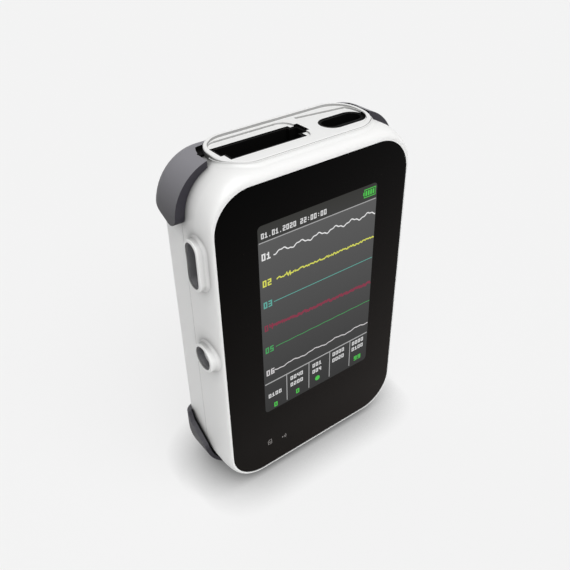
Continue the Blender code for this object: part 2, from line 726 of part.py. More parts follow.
def make_rear_shell(shop):
    outlines, levels = rear_stations(PART_GAP / 2, REAR, REAR_ROUND, 0)
    shell = shop.loft("rear_shell", outlines, levels, SEEN_FROM_FRONT)
    lip_front = PART_GAP / 2 - LIP_LENGTH
    join(shell, shop.flat("lip", case_outline(LIP_INSET), lip_front, WALL, SEEN_FROM_FRONT))
    outlines, levels = rear_stations(lip_front - OVERRUN, REAR_INNER, REAR_CORE_ROUND, WALL)
    cut(shell, shop.loft("rear_cavity", outlines, levels, SEEN_FROM_FRONT))
    join_battery_bay(shop, shell)
    head_seat = REAR - CASE_SCREW_SINK - CASE_SCREW_HEAD - SEAT_GAP
    for number, place in enumerate(case_screw_places()):
        boss = shop.cylinder(f"rear_boss_{number}", place, CASE_BOSS_RADIUS + SEAT_GAP,
                             FIT_GAP - LIP_LENGTH, REAR_INNER + WALL / 2, SEEN_FROM_FRONT)
        join(shell, boss)
        cut(shell, shop.cylinder(f"head_recess_{number}", place, CASE_SCREW_HEAD_RADIUS + FIT_GAP,
                                 head_seat, REAR + OVERRUN, SEEN_FROM_FRONT))
        cut(shell, shop.cylinder(f"shank_hole_{number}", place, CASE_SCREW_RADIUS + FIT_GAP,
                                 -OVERRUN, REAR + OVERRUN, SEEN_FROM_FRONT))
    cut_rim_seat(shop, shell)
    return shop.keep(shell, WHITE)


def join_battery_bay(shop, shell):
    """Ribbed frame around the battery, standing on the rear wall."""
    middle = (0, (BATTERY_LOW + BATTERY_HIGH) / 2)
    length = BATTERY_HIGH - BATTERY_LOW
    outer = centred_outline(middle, BATTERY_WIDTH, length, BATTERY_EDGE, FIT_GAP + BAY_WALL)
    inner = centred_outline(middle, BATTERY_WIDTH, length, BATTERY_EDGE, FIT_GAP)
    bay = shop.flat("battery_bay", outer, REAR_INNER - BAY_HEIGHT, REAR_INNER + WALL / 2, SEEN_FROM_FRONT)
    cut(bay, shop.flat("battery_bay_room", inner, REAR_INNER - BAY_HEIGHT - OVERRUN, REAR, SEEN_FROM_FRONT))
    join(shell, bay)


def make_lens(shop):
    lens = shop.flat("front_lens", lens_outline(), FRONT, LENS_BACK, SEEN_FROM_FRONT)
    round_edges(lens, LENS_EDGE_ROUND)
    return shop.keep(lens, BLACK_LENS)


def make_lens_tape(shop):
    start = LENS_BACK + TAPE_GAP
    tape = shop.flat("lens_tape", lens_outline(-TAPE_MARGIN), start, start + TAPE_THICKNESS, SEEN_FROM_FRONT)
    cut(tape, shop.flat("tape_window", lens_outline(-TAPE_MARGIN - TAPE_WIDTH), start - OVERRUN,
                        start + OVERRUN, SEEN_FROM_FRONT))
    return shop.keep(tape, TAPE)


def make_display(shop):
    panel_front = LENS_BACK + SEAT_GAP
    panel_back = panel_front + PANEL_THICKNESS
    shop.keep(shop.flat("lcd_panel", panel_outline(), panel_front, panel_back, SEEN_FROM_FRONT), DISPLAY)
    frame_front = WALL_BACK + SEAT_GAP
    frame_back = frame_front + FRAME_THICKNESS
    frame = shop.flat("lcd_frame", panel_outline(FRAME_BORDER), frame_front, frame_back, SEEN_FROM_FRONT)
    backlight = shop.flat("backlight", panel_outline(-SEAT_GAP), panel_back + SEAT_GAP,
                          frame_front + FRAME_THICKNESS / 2, SEEN_FROM_FRONT)
    join(frame, backlight)
    shop.keep(frame, TRAY)
    make_ribbon(shop, frame_back)


def make_ribbon(shop, frame_back):
    """Flat cable that folds from behind the display's lower edge onto the board."""
    start_y = frame_back + SEAT_GAP
    end_y = BOARD_FRONT - SEAT_GAP
    bend = (end_y - start_y) / 2
    low = PANEL_LOW - FRAME_BORDER + bend + RIBBON_ABOVE_FRAME_END
    centre = ((start_y + end_y) / 2, low)
    outer = arc_points(centre, bend, bend, math.pi, math.pi)
    inner = arc_points(centre, bend - RIBBON_THICKNESS, bend - RIBBON_THICKNESS, 0, -math.pi)
    lift = low + RIBBON_LEG
    outline = [(start_y, lift)] + outer + [(end_y, lift), (end_y - RIBBON_THICKNESS, lift)]
    outline += inner + [(start_y + RIBBON_THICKNESS, lift)]
    middle = (PANEL_LEFT + PANEL_RIGHT) / 2
    ribbon = shop.flat("lcd_ribbon", outline, middle - RIBBON_WIDTH / 2, middle + RIBBON_WIDTH / 2,
                       SEEN_FROM_SIDE)
    return shop.keep(ribbon, POLYIMIDE)


def sensor_outline(grow=0):
    """Keyed mouth: a long slot with a key at its right end and a notch at its front left."""
    left = SENSOR_LEFT - grow
    right = SENSOR_RIGHT + grow
    front = SENSOR_FRONT - grow
    back = SENSOR_BACK + grow
    key_right = SENSOR_KEY_RIGHT + grow
    notch_x = left + SENSOR_NOTCH_LENGTH
    notch_y = front + SENSOR_NOTCH_DEPTH
    return [(notch_x, front), (right, front), (right, SENSOR_KEY_FRONT - grow),
            (key_right, SENSOR_KEY_FRONT - grow), (key_right, SENSOR_KEY_BACK + grow),
            (right, SENSOR_KEY_BACK + grow), (right, back), (left, back), (left, notch_y),
            (notch_x, notch_y)]


def effort_outline(grow=0):
    return round_ended_outline((EFFORT_X, EFFORT_Y), EFFORT_LENGTH, EFFORT_DEPTH, grow)


def rim_crest(y):
    """Height of the rim's top, which slopes down towards the front."""
    return RIM_TOP - RIM_FRONT_DROP * (RIM_DEPTH / 2 - RIM_EDGE_ROUND - y) / RIM_DEPTH


def make_port_bezel(shop):
    """Raised rim with a stepped recess, on a neck that both shells close around."""
    neck = [[(x, y, level) for x, y in rim_outline(-NECK_INSET)] for level in (NECK_BOTTOM, RIM_FOOT)]
    wall = [[(x, y, RIM_FOOT) for x, y in rim_outline(RIM_DRAFT)]]
    for along, drawn in reversed(quarter_shares()):
        wall.append([(x, y, rim_crest(y) - RIM_EDGE_ROUND * along)
                     for x, y in rim_outline(-RIM_EDGE_ROUND * drawn)])
    bezel = shop.skin("port_bezel", neck + wall, SEEN_FROM_TOP)
    above = RIM_TOP + OVERRUN
    cut(bezel, shop.flat("ledge_room", rim_outline(-RIM_WIDTH), RIM_TOP - LEDGE_DROP, above, SEEN_FROM_TOP))
    half = RIM_DEPTH / 2 - RIM_WIDTH - LEDGE_WIDTH
    floor_left = RIM_X - RIM_LENGTH / 2 + RIM_WIDTH + LEDGE_LEFT
    left_floor = rounded_outline(floor_left, LEFT_FLOOR_END, -half, half, LEFT_FLOOR_CORNER)
    cut(bezel, shop.flat("left_floor", left_floor, RECESS_FLOOR, above, SEEN_FROM_TOP))
    right_floor = shop.flat("right_floor", rim_outline(-RIM_WIDTH - SEAT_GAP), RECESS_FLOOR, above,
                            SEEN_FROM_TOP)
    start = RIGHT_FLOOR_START
    reach = [(start, -RIM_DEPTH), (SIDE, -RIM_DEPTH), (SIDE, RIGHT_FLOOR_BACK - RIGHT_FLOOR_TAPER),
             (start, RIGHT_FLOOR_BACK)]
    crop(right_floor, shop.flat("right_floor_reach", reach, NECK_BOTTOM, above + OVERRUN, SEEN_FROM_TOP))
    cut(bezel, right_floor)
    below = NECK_BOTTOM - OVERRUN
    cut(bezel, shop.flat("sensor_mouth", sensor_outline(), below, above, SEEN_FROM_TOP))
    cut(bezel, shop.flat("effort_mouth", effort_outline(), below, above, SEEN_FROM_TOP))
    return shop.keep(bezel, WHITE)


def make_socket(shop, name, outline, wall, height, bore):
    """Black socket block below the neck, with a sleeve up to the floor of the recess."""
    socket = shop.flat(name, outline(wall), SOCKET_SHOULDER - height, SOCKET_SHOULDER, SEEN_FROM_TOP)
    join(socket, shop.flat(name + "_sleeve", outline(-SEAT_GAP), SOCKET_SHOULDER - WALL, SLEEVE_TOP,
                           SEEN_FROM_TOP))
    cut(socket, shop.flat(name + "_bore", outline(-SEAT_GAP - SLEEVE_WALL), SLEEVE_TOP - bore,
                          SLEEVE_TOP + OVERRUN, SEEN_FROM_TOP))
    return shop.keep(socket, SOCKET)


def make_contacts(shop, name, centre, columns, rows, floor):
    """Rows of square pins on one strip, on the floor of a socket."""
    x, y = centre
    low = floor + SEAT_GAP
    half_x = columns * PIN_PITCH / 2
    half_y = rows * PIN_PITCH / 2
    strip = shop.box(name, (x - half_x, y - half_y, low), (x + half_x, y + half_y, low + PIN_STRIP))
    for column in range(columns):
        for row in range(rows):
            pin_x = x + (column - (columns - 1) / 2) * PIN_PITCH
            pin_y = y + (row - (rows - 1) / 2) * PIN_PITCH
            pin = shop.box(f"{name}_pin_{column}_{row}",
                           (pin_x - PIN_SIZE / 2, pin_y - PIN_SIZE / 2, low + PIN_STRIP / 2),
                           (pin_x + PIN_SIZE / 2, pin_y + PIN_SIZE / 2, low + PIN_STRIP + PIN_LENGTH))
            join(strip, pin)
    return shop.keep(strip, BRASS)


def make_sockets(shop):
    make_socket(shop, "sensor_socket", sensor_outline, SENSOR_WALL, SENSOR_HEIGHT, SENSOR_BORE)
    middle_x = (SENSOR_LEFT + SENSOR_NOTCH_LENGTH + SENSOR_RIGHT) / 2
    sensor_centre = (middle_x, (SENSOR_FRONT + SENSOR_BACK) / 2)
    make_contacts(shop, "sensor_contacts", sensor_centre, SENSOR_PIN_COLUMNS, SENSOR_PIN_ROWS,
                  SLEEVE_TOP - SENSOR_BORE)
    make_socket(shop, "effort_socket", effort_outline, EFFORT_WALL, EFFORT_HEIGHT, EFFORT_BORE)
    make_contacts(shop, "effort_contacts", (EFFORT_X, EFFORT_Y), EFFORT_PIN_COLUMNS, EFFORT_PIN_ROWS,
                  SLEEVE_TOP - EFFORT_BORE)


def make_gasket(shop, name, outline_at, inner_end):
    """Soft sleeve that lines a collar's mouth, a little below its rim."""
    gasket = shop.flat(name, outline_at(-GASKET_GAP), COLLAR_TOP + GASKET_SINK, inner_end, SEEN_FROM_SIDE)
    cut(gasket, shop.flat(name + "_room", outline_at(-GASKET_GAP - GASKET_WALL), COLLAR_TOP,
                          inner_end + OVERRUN, SEEN_FROM_SIDE))
    return shop.keep(gasket, RUBBER)


def set_origin(made, point):
    """Moves an object's origin to a point, and leaves its shape where it is."""
    made.data.transform(Matrix.Translation(-Vector(point)))
    made.location = point


def make_power_button(shop):
    """Key with a slightly crowned face, held in by a flange behind the wall."""
    face = COLLAR_TOP + BUTTON_SINK
    flange_out = -INNER_SIDE + BUTTON_FLANGE
    flange_in = flange_out + BUTTON_FLANGE_THICKNESS
    inset = GASKET_GAP + GASKET_WALL + BUTTON_GAP
    crown_step = 2 * BUTTON_DOME
    levels = (face, face + BUTTON_DOME / 3, face + BUTTON_DOME, flange_out)
    grows = (-inset - crown_step, -inset - BUTTON_DOME, -inset, -inset)
    stem = shop.loft("button_stem", [button_outline(grow) for grow in grows], levels, SEEN_FROM_SIDE)
    button = shop.flat("power_button", button_outline(SEAT_GAP), flange_out - SEAT_GAP / 2, flange_in,
                       SEEN_FROM_SIDE)
    post = shop.cylinder("button_post", (BUTTON_Y, BUTTON_Z), PLUNGER_RADIUS, flange_out,
                         flange_in + FIT_GAP, SEEN_FROM_SIDE)
    join(button, stem)
    join(button, post)
    set_origin(button, (face, BUTTON_Y, BUTTON_Z))
    shop.keep(button, KEY)
    make_gasket(shop, "button_gasket", button_outline, flange_out - FIT_GAP - SEAT_GAP)
    return flange_in + 2 * FIT_GAP


def make_power_switch(shop, plunger_start):
    plunger_end = plunger_start + PLUNGER_LENGTH
    body_start = plunger_start + PLUNGER_SHOULDER
    half = SWITCH_SIZE / 2
    switch = shop.box("power_switch", (body_start, BUTTON_Y - half, BUTTON_Z - half),
                      (body_start + SWITCH_BODY, BUTTON_Y + half, BUTTON_Z + half), CHIP_EDGE)
    cut(switch, shop.cylinder("plunger_bore", (BUTTON_Y, BUTTON_Z), PLUNGER_RADIUS + PLUNGER_GAP,
                              body_start - OVERRUN, plunger_end + BUTTON_TRAVEL + SEAT_GAP, SEEN_FROM_SIDE))
    shop.keep(switch, CHIP)
    plunger = shop.cylinder("switch_plunger", (BUTTON_Y, BUTTON_Z), PLUNGER_RADIUS, plunger_start,
                            plunger_end, SEEN_FROM_SIDE)
    set_origin(plunger, (plunger_start, BUTTON_Y, BUTTON_Z))
    shop.keep(plunger, SOCKET)


def make_cannula_port(shop):
    """Turned fitting: a ring-shaped nose with a blind bore, a flange and a hose barb."""
    nose = COLLAR_TOP + CANNULA_NOSE_SINK
    flange_out = -INNER_SIDE + SEAL_WIRE + 2 * SEAT_GAP
    flange_in = flange_out + CANNULA_FLANGE_THICKNESS
    barb_end = flange_in + CANNULA_BARB_LENGTH
    barb_mid = flange_in + CANNULA_BARB_LENGTH / 2
    bore_end = flange_in - CANNULA_BORE_FLOOR
    lead = COLLAR_ROUND
    barb_neck = CANNULA_BARB_RADIUS - SEAT_GAP
    profile = [
        (CANNULA_BORE_RADIUS, nose),
        (CANNULA_NOSE_RADIUS - lead, nose),
        (CANNULA_NOSE_RADIUS, nose + lead),
        (CANNULA_NOSE_RADIUS, flange_out),
        (CANNULA_FLANGE_RADIUS, flange_out),
        (CANNULA_FLANGE_RADIUS, flange_in),
        (barb_neck, flange_in),
        (barb_neck, barb_mid),
        (CANNULA_BARB_RADIUS, barb_mid),
        (barb_neck, barb_end),
        (CANNULA_THROAT_RADIUS, barb_end),
        (CANNULA_THROAT_RADIUS, bore_end),
        (CANNULA_BORE_RADIUS, bore_end),
    ]
    place = Matrix.Translation((0, CANNULA_Y, CANNULA_Z)) @ Matrix.Rotation(math.pi / 2, 4, "Y")
    port = shop.turned("cannula_port", profile[::-1], place)
    shop.keep(port, KEY)
    make_gasket(shop, "cannula_gasket", cannula_outline, COLLAR_TOP + CANNULA_WELL - GASKET_GAP)
    ring_x = -INNER_SIDE + SEAT_GAP + SEAL_WIRE / 2
    ring = arc_points((SEAL_RADIUS, ring_x), SEAL_WIRE / 2, SEAL_WIRE / 2, 0, -2 * math.pi)[:-1]
    shop.keep(shop.turned("cannula_seal", ring, place), SEAL)
    return barb_end


def make_air_path(shop, barb_end):
    """Pressure sensor on the board, and the soft tube from the cannula port to it."""
    half = SENSOR_CAN / 2
    back = BOARD_FRONT - SEAT_GAP
    front = back - SENSOR_CAN_HEIGHT
    centre_y = (front + back) / 2
    sensor = shop.box("pressure_sensor", (SENSOR_CAN_X - half, front, CANNULA_Z - half),
                      (SENSOR_CAN_X + half, back, CANNULA_Z + half), CHIP_EDGE)
    stub_start = SENSOR_CAN_X - half - SENSOR_STUB_LENGTH
    join(sensor, shop.cylinder("sensor_stub", (centre_y, CANNULA_Z), SENSOR_STUB_RADIUS, stub_start,
                               SENSOR_CAN_X, SEEN_FROM_SIDE))
    shop.keep(sensor, CHIP)
    start = barb_end + TUBE_END_GAP
    end = stub_start - TUBE_END_GAP
    tube = tube_along(shop, "pressure_tube", start, end, CANNULA_Y, centre_y, TUBE_OUTER_RADIUS, 0)
    cut(tube, tube_along(shop, "tube_bore", start, end, CANNULA_Y, centre_y, TUBE_INNER_RADIUS, OVERRUN))
    shop.keep(tube, CLEAR_TUBE)


def tube_along(shop, name, start, end, start_y, end_y, radius, overrun):
    """Round tube along X that eases from one depth to another."""
    steps = 2 * ARC_STEPS
    points = [(start + (end - start) * step / steps,
               start_y + (end_y - start_y) * (1 - math.cos(math.pi * step / steps)) / 2)
              for step in range(steps + 1)]
    if overrun:
        points = [(start - overrun, start_y)] + points + [(end + overrun, end_y)]
    curve = bpy.data.curves.new(name, "CURVE")
    curve.dimensions = "3D"
    curve.bevel_depth = radius
    curve.bevel_resolution = 2
    curve.use_fill_caps = True
    spline = curve.splines.new("POLY")
    spline.points.add(len(points) - 1)
    for point, (x, y) in zip(spline.points, points):
        point.co = (x, y, CANNULA_Z, 1)
    drawn = bpy.data.objects.new(name + "_path", curve)
    shop.cutters.objects.link(drawn)
    bpy.context.view_layer.update()
    evaluated = drawn.evaluated_get(bpy.context.evaluated_depsgraph_get())
    mesh = bpy.data.meshes.new_from_object(evaluated)
    bpy.data.objects.remove(drawn, do_unlink=True)
    shape = bmesh.new()
    shape.from_mesh(mesh)
    bmesh.ops.remove_doubles(shape, verts=shape.verts, dist=SEAT_GAP / 100)
    bpy.data.meshes.remove(mesh)
    return shop.from_bmesh(name, shape, SEEN_FROM_TOP)


def make_board(shop):
    outline = rounded_outline(-BOARD_WIDTH / 2, BOARD_WIDTH / 2, BOARD_LOW, BOARD_HIGH, BOARD_CORNER)
    board = shop.flat("main_board", outline, BOARD_FRONT, BOARD_BACK, SEEN_FROM_FRONT)
    for number, place in enumerate(board_screw_places()):
        cut(board, shop.cylinder(f"board_hole_{number}", place, BOARD_SCREW_RADIUS + SEAT_GAP,
                                 BOARD_FRONT - OVERRUN, BOARD_BACK + OVERRUN, SEEN_FROM_FRONT))
    shop.keep(board, BOARD)
    make_chip(shop, "processor_chip", (PROCESSOR_X, BOARD_LOW + PROCESSOR_ABOVE_END), PROCESSOR_SIZE,
              PROCESSOR_SIZE, CHIP_HEIGHT, CHIP)
    make_chip(shop, "amplifier_chip", (AMPLIFIER_X, BOARD_HIGH - AMPLIFIER_BELOW_END), AMPLIFIER_SIZE,
              AMPLIFIER_SIZE, CHIP_HEIGHT, CHIP)
    make_chip(shop, "radio_module", (RADIO_X, BOARD_HIGH - RADIO_BELOW_END), RADIO_WIDTH, RADIO_LENGTH,
              RADIO_HEIGHT, TRAY)


def make_chip(shop, name, place, width, length, height, look):
    x, z = place
    front = BOARD_BACK + SEAT_GAP
    lows = (x - width / 2, front, z - length / 2)
    chip = shop.box(name, lows, (x + width / 2, front + height, z + length / 2), CHIP_EDGE)
    return shop.keep(chip, look)


def make_battery(shop):
    half_x = BATTERY_WIDTH / 2
    battery = shop.box("battery", (-half_x, BATTERY_FRONT, BATTERY_LOW),
                       (half_x, BATTERY_BACK, BATTERY_HIGH), BATTERY_EDGE)
    shop.keep(battery, CELL)
    inset = BATTERY_EDGE
    pad = shop.box("battery_pad", (inset - half_x, BATTERY_BACK + SEAT_GAP, BATTERY_LOW + inset),
                   (half_x - inset, PAD_BACK, BATTERY_HIGH - inset))
    shop.keep(pad, FOAM)


def make_screw(shop, name, place, head_seat, head, head_radius, shank_radius, length):
    """Pan-head screw driven from the rear, with a cross recess."""
    screw = shop.cylinder(name, place, head_radius, head_seat, head_seat + head, SEEN_FROM_FRONT)
    join(screw, shop.cylinder(name + "_shank", place, shank_radius, head_seat - length,
                              head_seat + head / 2, SEEN_FROM_FRONT))
    x, z = place
    reach = head_radius - SLOT_WIDTH
    top = head_seat + head
    for turn, half_x, half_z in (("a", reach, SLOT_WIDTH / 2), ("b", SLOT_WIDTH / 2, reach)):
        cut(screw, shop.box(name + "_cross_" + turn, (x - half_x, top - SLOT_DEPTH, z - half_z),
                            (x + half_x, top + OVERRUN, z + half_z)))
    return shop.keep(screw, STEEL)


def make_screws(shop):
    names = ("top_left", "top_right", "bottom_left", "bottom_right")
    case_seat = REAR - CASE_SCREW_SINK - CASE_SCREW_HEAD
    for name, place in zip(names, case_screw_places()):
        make_screw(shop, "case_screw_" + name, place, case_seat, CASE_SCREW_HEAD, CASE_SCREW_HEAD_RADIUS,
                   CASE_SCREW_RADIUS, CASE_SCREW_LENGTH)
    for name, place in zip(names, board_screw_places()):
        make_screw(shop, "board_screw_" + name, place, BOARD_BACK + SEAT_GAP, BOARD_SCREW_HEAD,
                   BOARD_SCREW_HEAD_RADIUS, BOARD_SCREW_RADIUS, BOARD_SCREW_LENGTH)


def bumper_blank(shop, name, end):
    """Outer form of the bumpers of one end: the case outline, larger and rounder behind."""
    side, past, corner = BUMPER_TOP_SIDE, BUMPER_TOP_RISE, BUMPER_TOP_CORNER
    if end < 0:
        side, past, corner = BUMPER_FOOT_SIDE, BUMPER_FOOT_DROP, BUMPER_FOOT_CORNER
    levels = [BUMPER_FRONT, BUMPER_FRONT + BUMPER_EDGE]
    insets = [(BUMPER_EDGE, BUMPER_EDGE, BUMPER_EDGE), (0, 0, 0)]
    for along, drawn in reversed(quarter_shares()):
        levels.append(REAR - BUMPER_REAR_DEPTH * along)
        drawn_end = (past + REAR_ROUND - BUMPER_REAR_COVER) * drawn
        insets.append(((side + REAR_ROUND - BUMPER_REAR_COVER) * drawn, drawn_end, drawn_end))
    outlines = [rounded_outline(-SIDE - side, SIDE + side, BOTTOM - past, TOP + past, corner, inset)
                for inset in insets]
    return shop.loft(name, outlines, levels, SEEN_FROM_FRONT)


def case_core(shop, name):
    """The rear half of the case, grown by the seat gap, which the bumpers are shaped to."""
    outlines, levels = rear_stations(BUMPER_FRONT - OVERRUN, REAR, REAR_ROUND, -SEAT_GAP)
    outlines.append(outlines[-1])
    levels.append(REAR + OVERRUN)
    return shop.loft(name, outlines, levels, SEEN_FROM_FRONT)


def bumper_reach_outline(end):
    """Side view of what a bumper covers. Each leg ends on a slant, shorter towards the rear."""
    front = BUMPER_FRONT - SEAT_GAP
    back = REAR + OVERRUN
    slope = math.tan(BUMPER_END_SLANT)
    if end > 0:
        centre = (front + BUMPER_LEG_ROUND, TOP - BUMPER_LEG + BUMPER_LEG_ROUND)
        turn = arc_points(centre, BUMPER_LEG_ROUND, BUMPER_LEG_ROUND, math.pi, math.pi / 2 + BUMPER_END_SLANT)
        high = TOP + CASE_CORNER + OVERRUN
        return turn + [(back, turn[-1][1] + slope * (back - turn[-1][0])), (back, high), (front, high)]
    low = BOTTOM - CASE_CORNER - OVERRUN
    leg_end = BOTTOM + BUMPER_FOOT_LEG
    slant = [(BUMPER_FRONT + BUMPER_SLANT_DEPTH * along,
              BOTTOM + BUMPER_SLANT_START + BUMPER_SLANT_RISE * up) for along, up in BUMPER_SLANT_SHARES]
    tip = BUMPER_FRONT + BUMPER_SLANT_DEPTH + BUMPER_EDGE
    rear_end = leg_end - slope * (back - tip)
    return [(front, low), (back, low), (back, rear_end), (tip, leg_end)] + slant[::-1] + [
        (front, BOTTOM + BUMPER_SLANT_START - SEAT_GAP)]


def bumper_corner_keeper(shop, name, side, end):
    """What one bumper covers, through the case from its inner end outwards."""
    reach = SIDE + BUMPER_TOP_SIDE + OVERRUN
    inner = BUMPER_REAR_INNER_X if end > 0 else BUMPER_FOOT_INNER_X
    low, high = sorted((side * inner, side * reach))
    return shop.flat(name, bumper_reach_outline(end), low, high, SEEN_FROM_SIDE)


def make_bumper(shop, name, side, end):
    bumper = bumper_blank(shop, name, end)
    crop(bumper, bumper_corner_keeper(shop, name + "_reach", side, end))
    cut(bumper, case_core(shop, name + "_core"))
    if end > 0:
        cut_rim_room(shop, bumper, side)
    return shop.keep(bumper, RUBBER)


def cut_rim_room(shop, bumper, side):
    """Keeps a top bumper clear of the rim, with a short slot over a thin web at the rim's end."""
    low = TOP - BUMPER_LEG
    high = RIM_TOP + OVERRUN
    cut(bumper, shop.flat(bumper.name + "_rim_foot", rim_outline(RIM_DRAFT + SEAT_GAP), low, high,
                          SEEN_FROM_TOP))
    slot = shop.flat(bumper.name + "_slot", rim_outline(BUMPER_SLOT_WIDTH), TOP + BUMPER_WEB, high,
                     SEEN_FROM_TOP)
    inner, outer = sorted((0, side * BUMPER_INNER_X))
    far_inner, far_outer = sorted((0, side * (SIDE + OVERRUN)))
    crop(slot, shop.box(bumper.name + "_slot_end", (far_inner, BUMPER_FRONT - OVERRUN, low),
                        (far_outer, BUMPER_SLOT_BACK, high + OVERRUN)))
    cut(bumper, slot)
    back = RIM_DEPTH / 2 - RIM_CORNER + BUMPER_EDGE
    cut(bumper, shop.box(bumper.name + "_end", (inner, BUMPER_FRONT - OVERRUN, low), (outer, back, high)))


def make_bumpers(shop):
    for end, end_name in ((1, "top"), (-1, "bottom")):
        for side, side_name in ((-1, "left"), (1, "right")):
            make_bumper(shop, f"bumper_{end_name}_{side_name}", side, end)


def shade(made):
    """Smooth shading with sharp edges kept, so round pieces look round."""
    made.data.shade_smooth()
    made.data.set_sharp_from_angle(angle=SHARP_ANGLE)


def build():
    clear_scene()
    shop = Shop()
    make_front_shell(shop)
    make_rear_shell(shop)
    make_lens(shop)
    make_lens_tape(shop)
    make_display(shop)
    make_port_bezel(shop)
    make_sockets(shop)
    make_power_switch(shop, make_power_button(shop))
    make_air_path(shop, make_cannula_port(shop))
    make_board(shop)
    make_battery(shop)
    make_screws(shop)
    make_bumpers(shop)
    for made in shop.parts.objects:
        shade(made)


build()
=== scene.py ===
"""Looks of the sleep apnea monitor: a white moulded recorder with a glossy black front,
a lit display, a port rim on top and grey corner bumpers.

Lengths are in metres, in the frame of the model: X right, Y back, Z up, floor at z = 0.
"""
import json
import math

import bmesh
import bpy
from mathutils import Matrix, Vector


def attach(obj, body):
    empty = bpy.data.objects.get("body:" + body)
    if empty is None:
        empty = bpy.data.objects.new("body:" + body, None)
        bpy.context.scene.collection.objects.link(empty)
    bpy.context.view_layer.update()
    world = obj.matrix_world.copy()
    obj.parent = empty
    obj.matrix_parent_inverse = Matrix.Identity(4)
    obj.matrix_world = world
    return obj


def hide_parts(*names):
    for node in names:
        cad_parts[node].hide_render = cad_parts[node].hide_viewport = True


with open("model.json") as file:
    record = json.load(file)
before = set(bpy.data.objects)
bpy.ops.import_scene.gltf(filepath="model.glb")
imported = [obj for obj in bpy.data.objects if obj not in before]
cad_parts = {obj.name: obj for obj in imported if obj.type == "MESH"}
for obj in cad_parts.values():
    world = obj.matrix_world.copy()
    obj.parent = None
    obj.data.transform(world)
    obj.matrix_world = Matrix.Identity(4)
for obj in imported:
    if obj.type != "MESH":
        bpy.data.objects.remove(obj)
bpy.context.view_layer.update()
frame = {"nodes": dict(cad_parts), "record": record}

MM = 0.001

# Camera as worked out from the photograph
CAMERA_PLACE = (-0.118506, -0.157216, 0.207036)
CAMERA_RIGHT = (0.79824, -0.60212, -0.01650)
CAMERA_UP = (0.35469, 0.44773, 0.82081)
CAMERA_LENS = 42.03
CAMERA_SENSOR = 36.0
CAMERA_NEAR = 1 * MM

# Fineness of the curves
ARC_STEPS = 14
ROLL_STEPS = 10
TURN_STEPS = 72
SHARP_ANGLE = math.radians(38)
EDGE_ANGLE = math.radians(40)
EDGE_STEPS = 3
SAME_POINT = MM / 500

# How far a joined form reaches into its neighbour, and a cutter past what it cuts
OVERLAP = MM / 20
OVERRUN = 3.0 * MM

# Case, as in the CAD
SIDE = 40.3 * MM
BOTTOM = 2.2 * MM
TOP = 127.2 * MM
CORNER = 15.0 * MM
FRONT = -15.0 * MM
REAR = 15.0 * MM
WALL = 2.0 * MM
PART_GAP = 0.1 * MM
FRONT_ROLL_DEPTH = 7.0 * MM
FRONT_INSET_SIDE = 1.7 * MM
FRONT_INSET_TOP = 3.9 * MM
FRONT_INSET_BOTTOM = 1.7 * MM
REAR_ROUND = 6.0 * MM
REAR_CORE_ROUND = 4.2 * MM
WALL_BACK = -11.7 * MM

# Front lens and the display under it. PANEL is the left, right, bottom and top of the window
LENS_SIDE = 38.2 * MM
LENS_LOW = 4.5 * MM
LENS_HIGH = 122.8 * MM
LENS_CORNER = 13.0 * MM
LENS_FACE = -14.93 * MM
LENS_BACK = -13.8 * MM
LENS_ROUND = 0.3 * MM
LENS_GAP = 0.12 * MM
LENS_SEAT = -13.3 * MM
PANEL = (-26.15 * MM, 27.85 * MM, 28.25 * MM, 112.75 * MM)
PICTURE_LEFT = -23.5 * MM
PICTURE_LOW = 31.9 * MM
PICTURE_WIDTH = 48.6 * MM
PICTURE_HEIGHT = 77.1 * MM
PICTURE_CORNER = 1.5 * MM
PICTURE_FACE = -14.95 * MM
INK_FACE = -14.985 * MM
INK_BACK = -14.85 * MM

# Display picture, in places measured from its lower left corner
HEADER_LINE = 71.2 * MM
HEADER_EDGE_SHARE = 0.004
READOUT_LINE = 13.6 * MM
LINE_MARGIN = 0.3 * MM
DIVIDERS = (9.7 * MM, 19.9 * MM, 29.8 * MM, 39.8 * MM)
DIVIDER_LOW = 1.0 * MM
HAIRLINE = 0.16 * MM
HEADER_TEXT = "01.01.2020 22:00:00"
HEADER_PLACE = (1.2 * MM, 72.5 * MM)
GREEN_DOT = (24.0 * MM, 3.7 * MM)
GREEN_DOT_RADIUS = 1.1 * MM
BATTERY_LEFT = 42.9 * MM
BATTERY_RIGHT = 47.9 * MM
BATTERY_LOW = 72.9 * MM
BATTERY_HIGH = 75.7 * MM
BATTERY_STROKE = 0.17 * MM
BATTERY_CAP_REACH = 0.45 * MM
BATTERY_CAP_LAP = 0.1 * MM
BATTERY_CAP_MARGIN = 0.8 * MM
BATTERY_BARS = 4
BATTERY_BAR_WIDTH = 0.72 * MM
BATTERY_BAR_PITCH = 1.07 * MM
BATTERY_BAR_MARGIN = 0.5 * MM
TRACE_STEPS = 160
CHANNEL_NUMBER_LEFT = 1.1 * MM
CHANNEL_NUMBER_DROP = 1.3 * MM

# Grid of a digit's dots, height and pitch of the digits, and the share of its row that a dot fills
DOT_COLUMNS = 3
DOT_ROWS = 5
HEADER_DIGIT = (1.9 * MM, 1.36 * MM)
CELL_DIGIT = (1.75 * MM, 1.5 * MM)
GREEN_DIGIT = (2.1 * MM, 1.9 * MM)
CHANNEL_DIGIT = (2.5 * MM, 1.9 * MM)
DOT_SHARE = 0.96

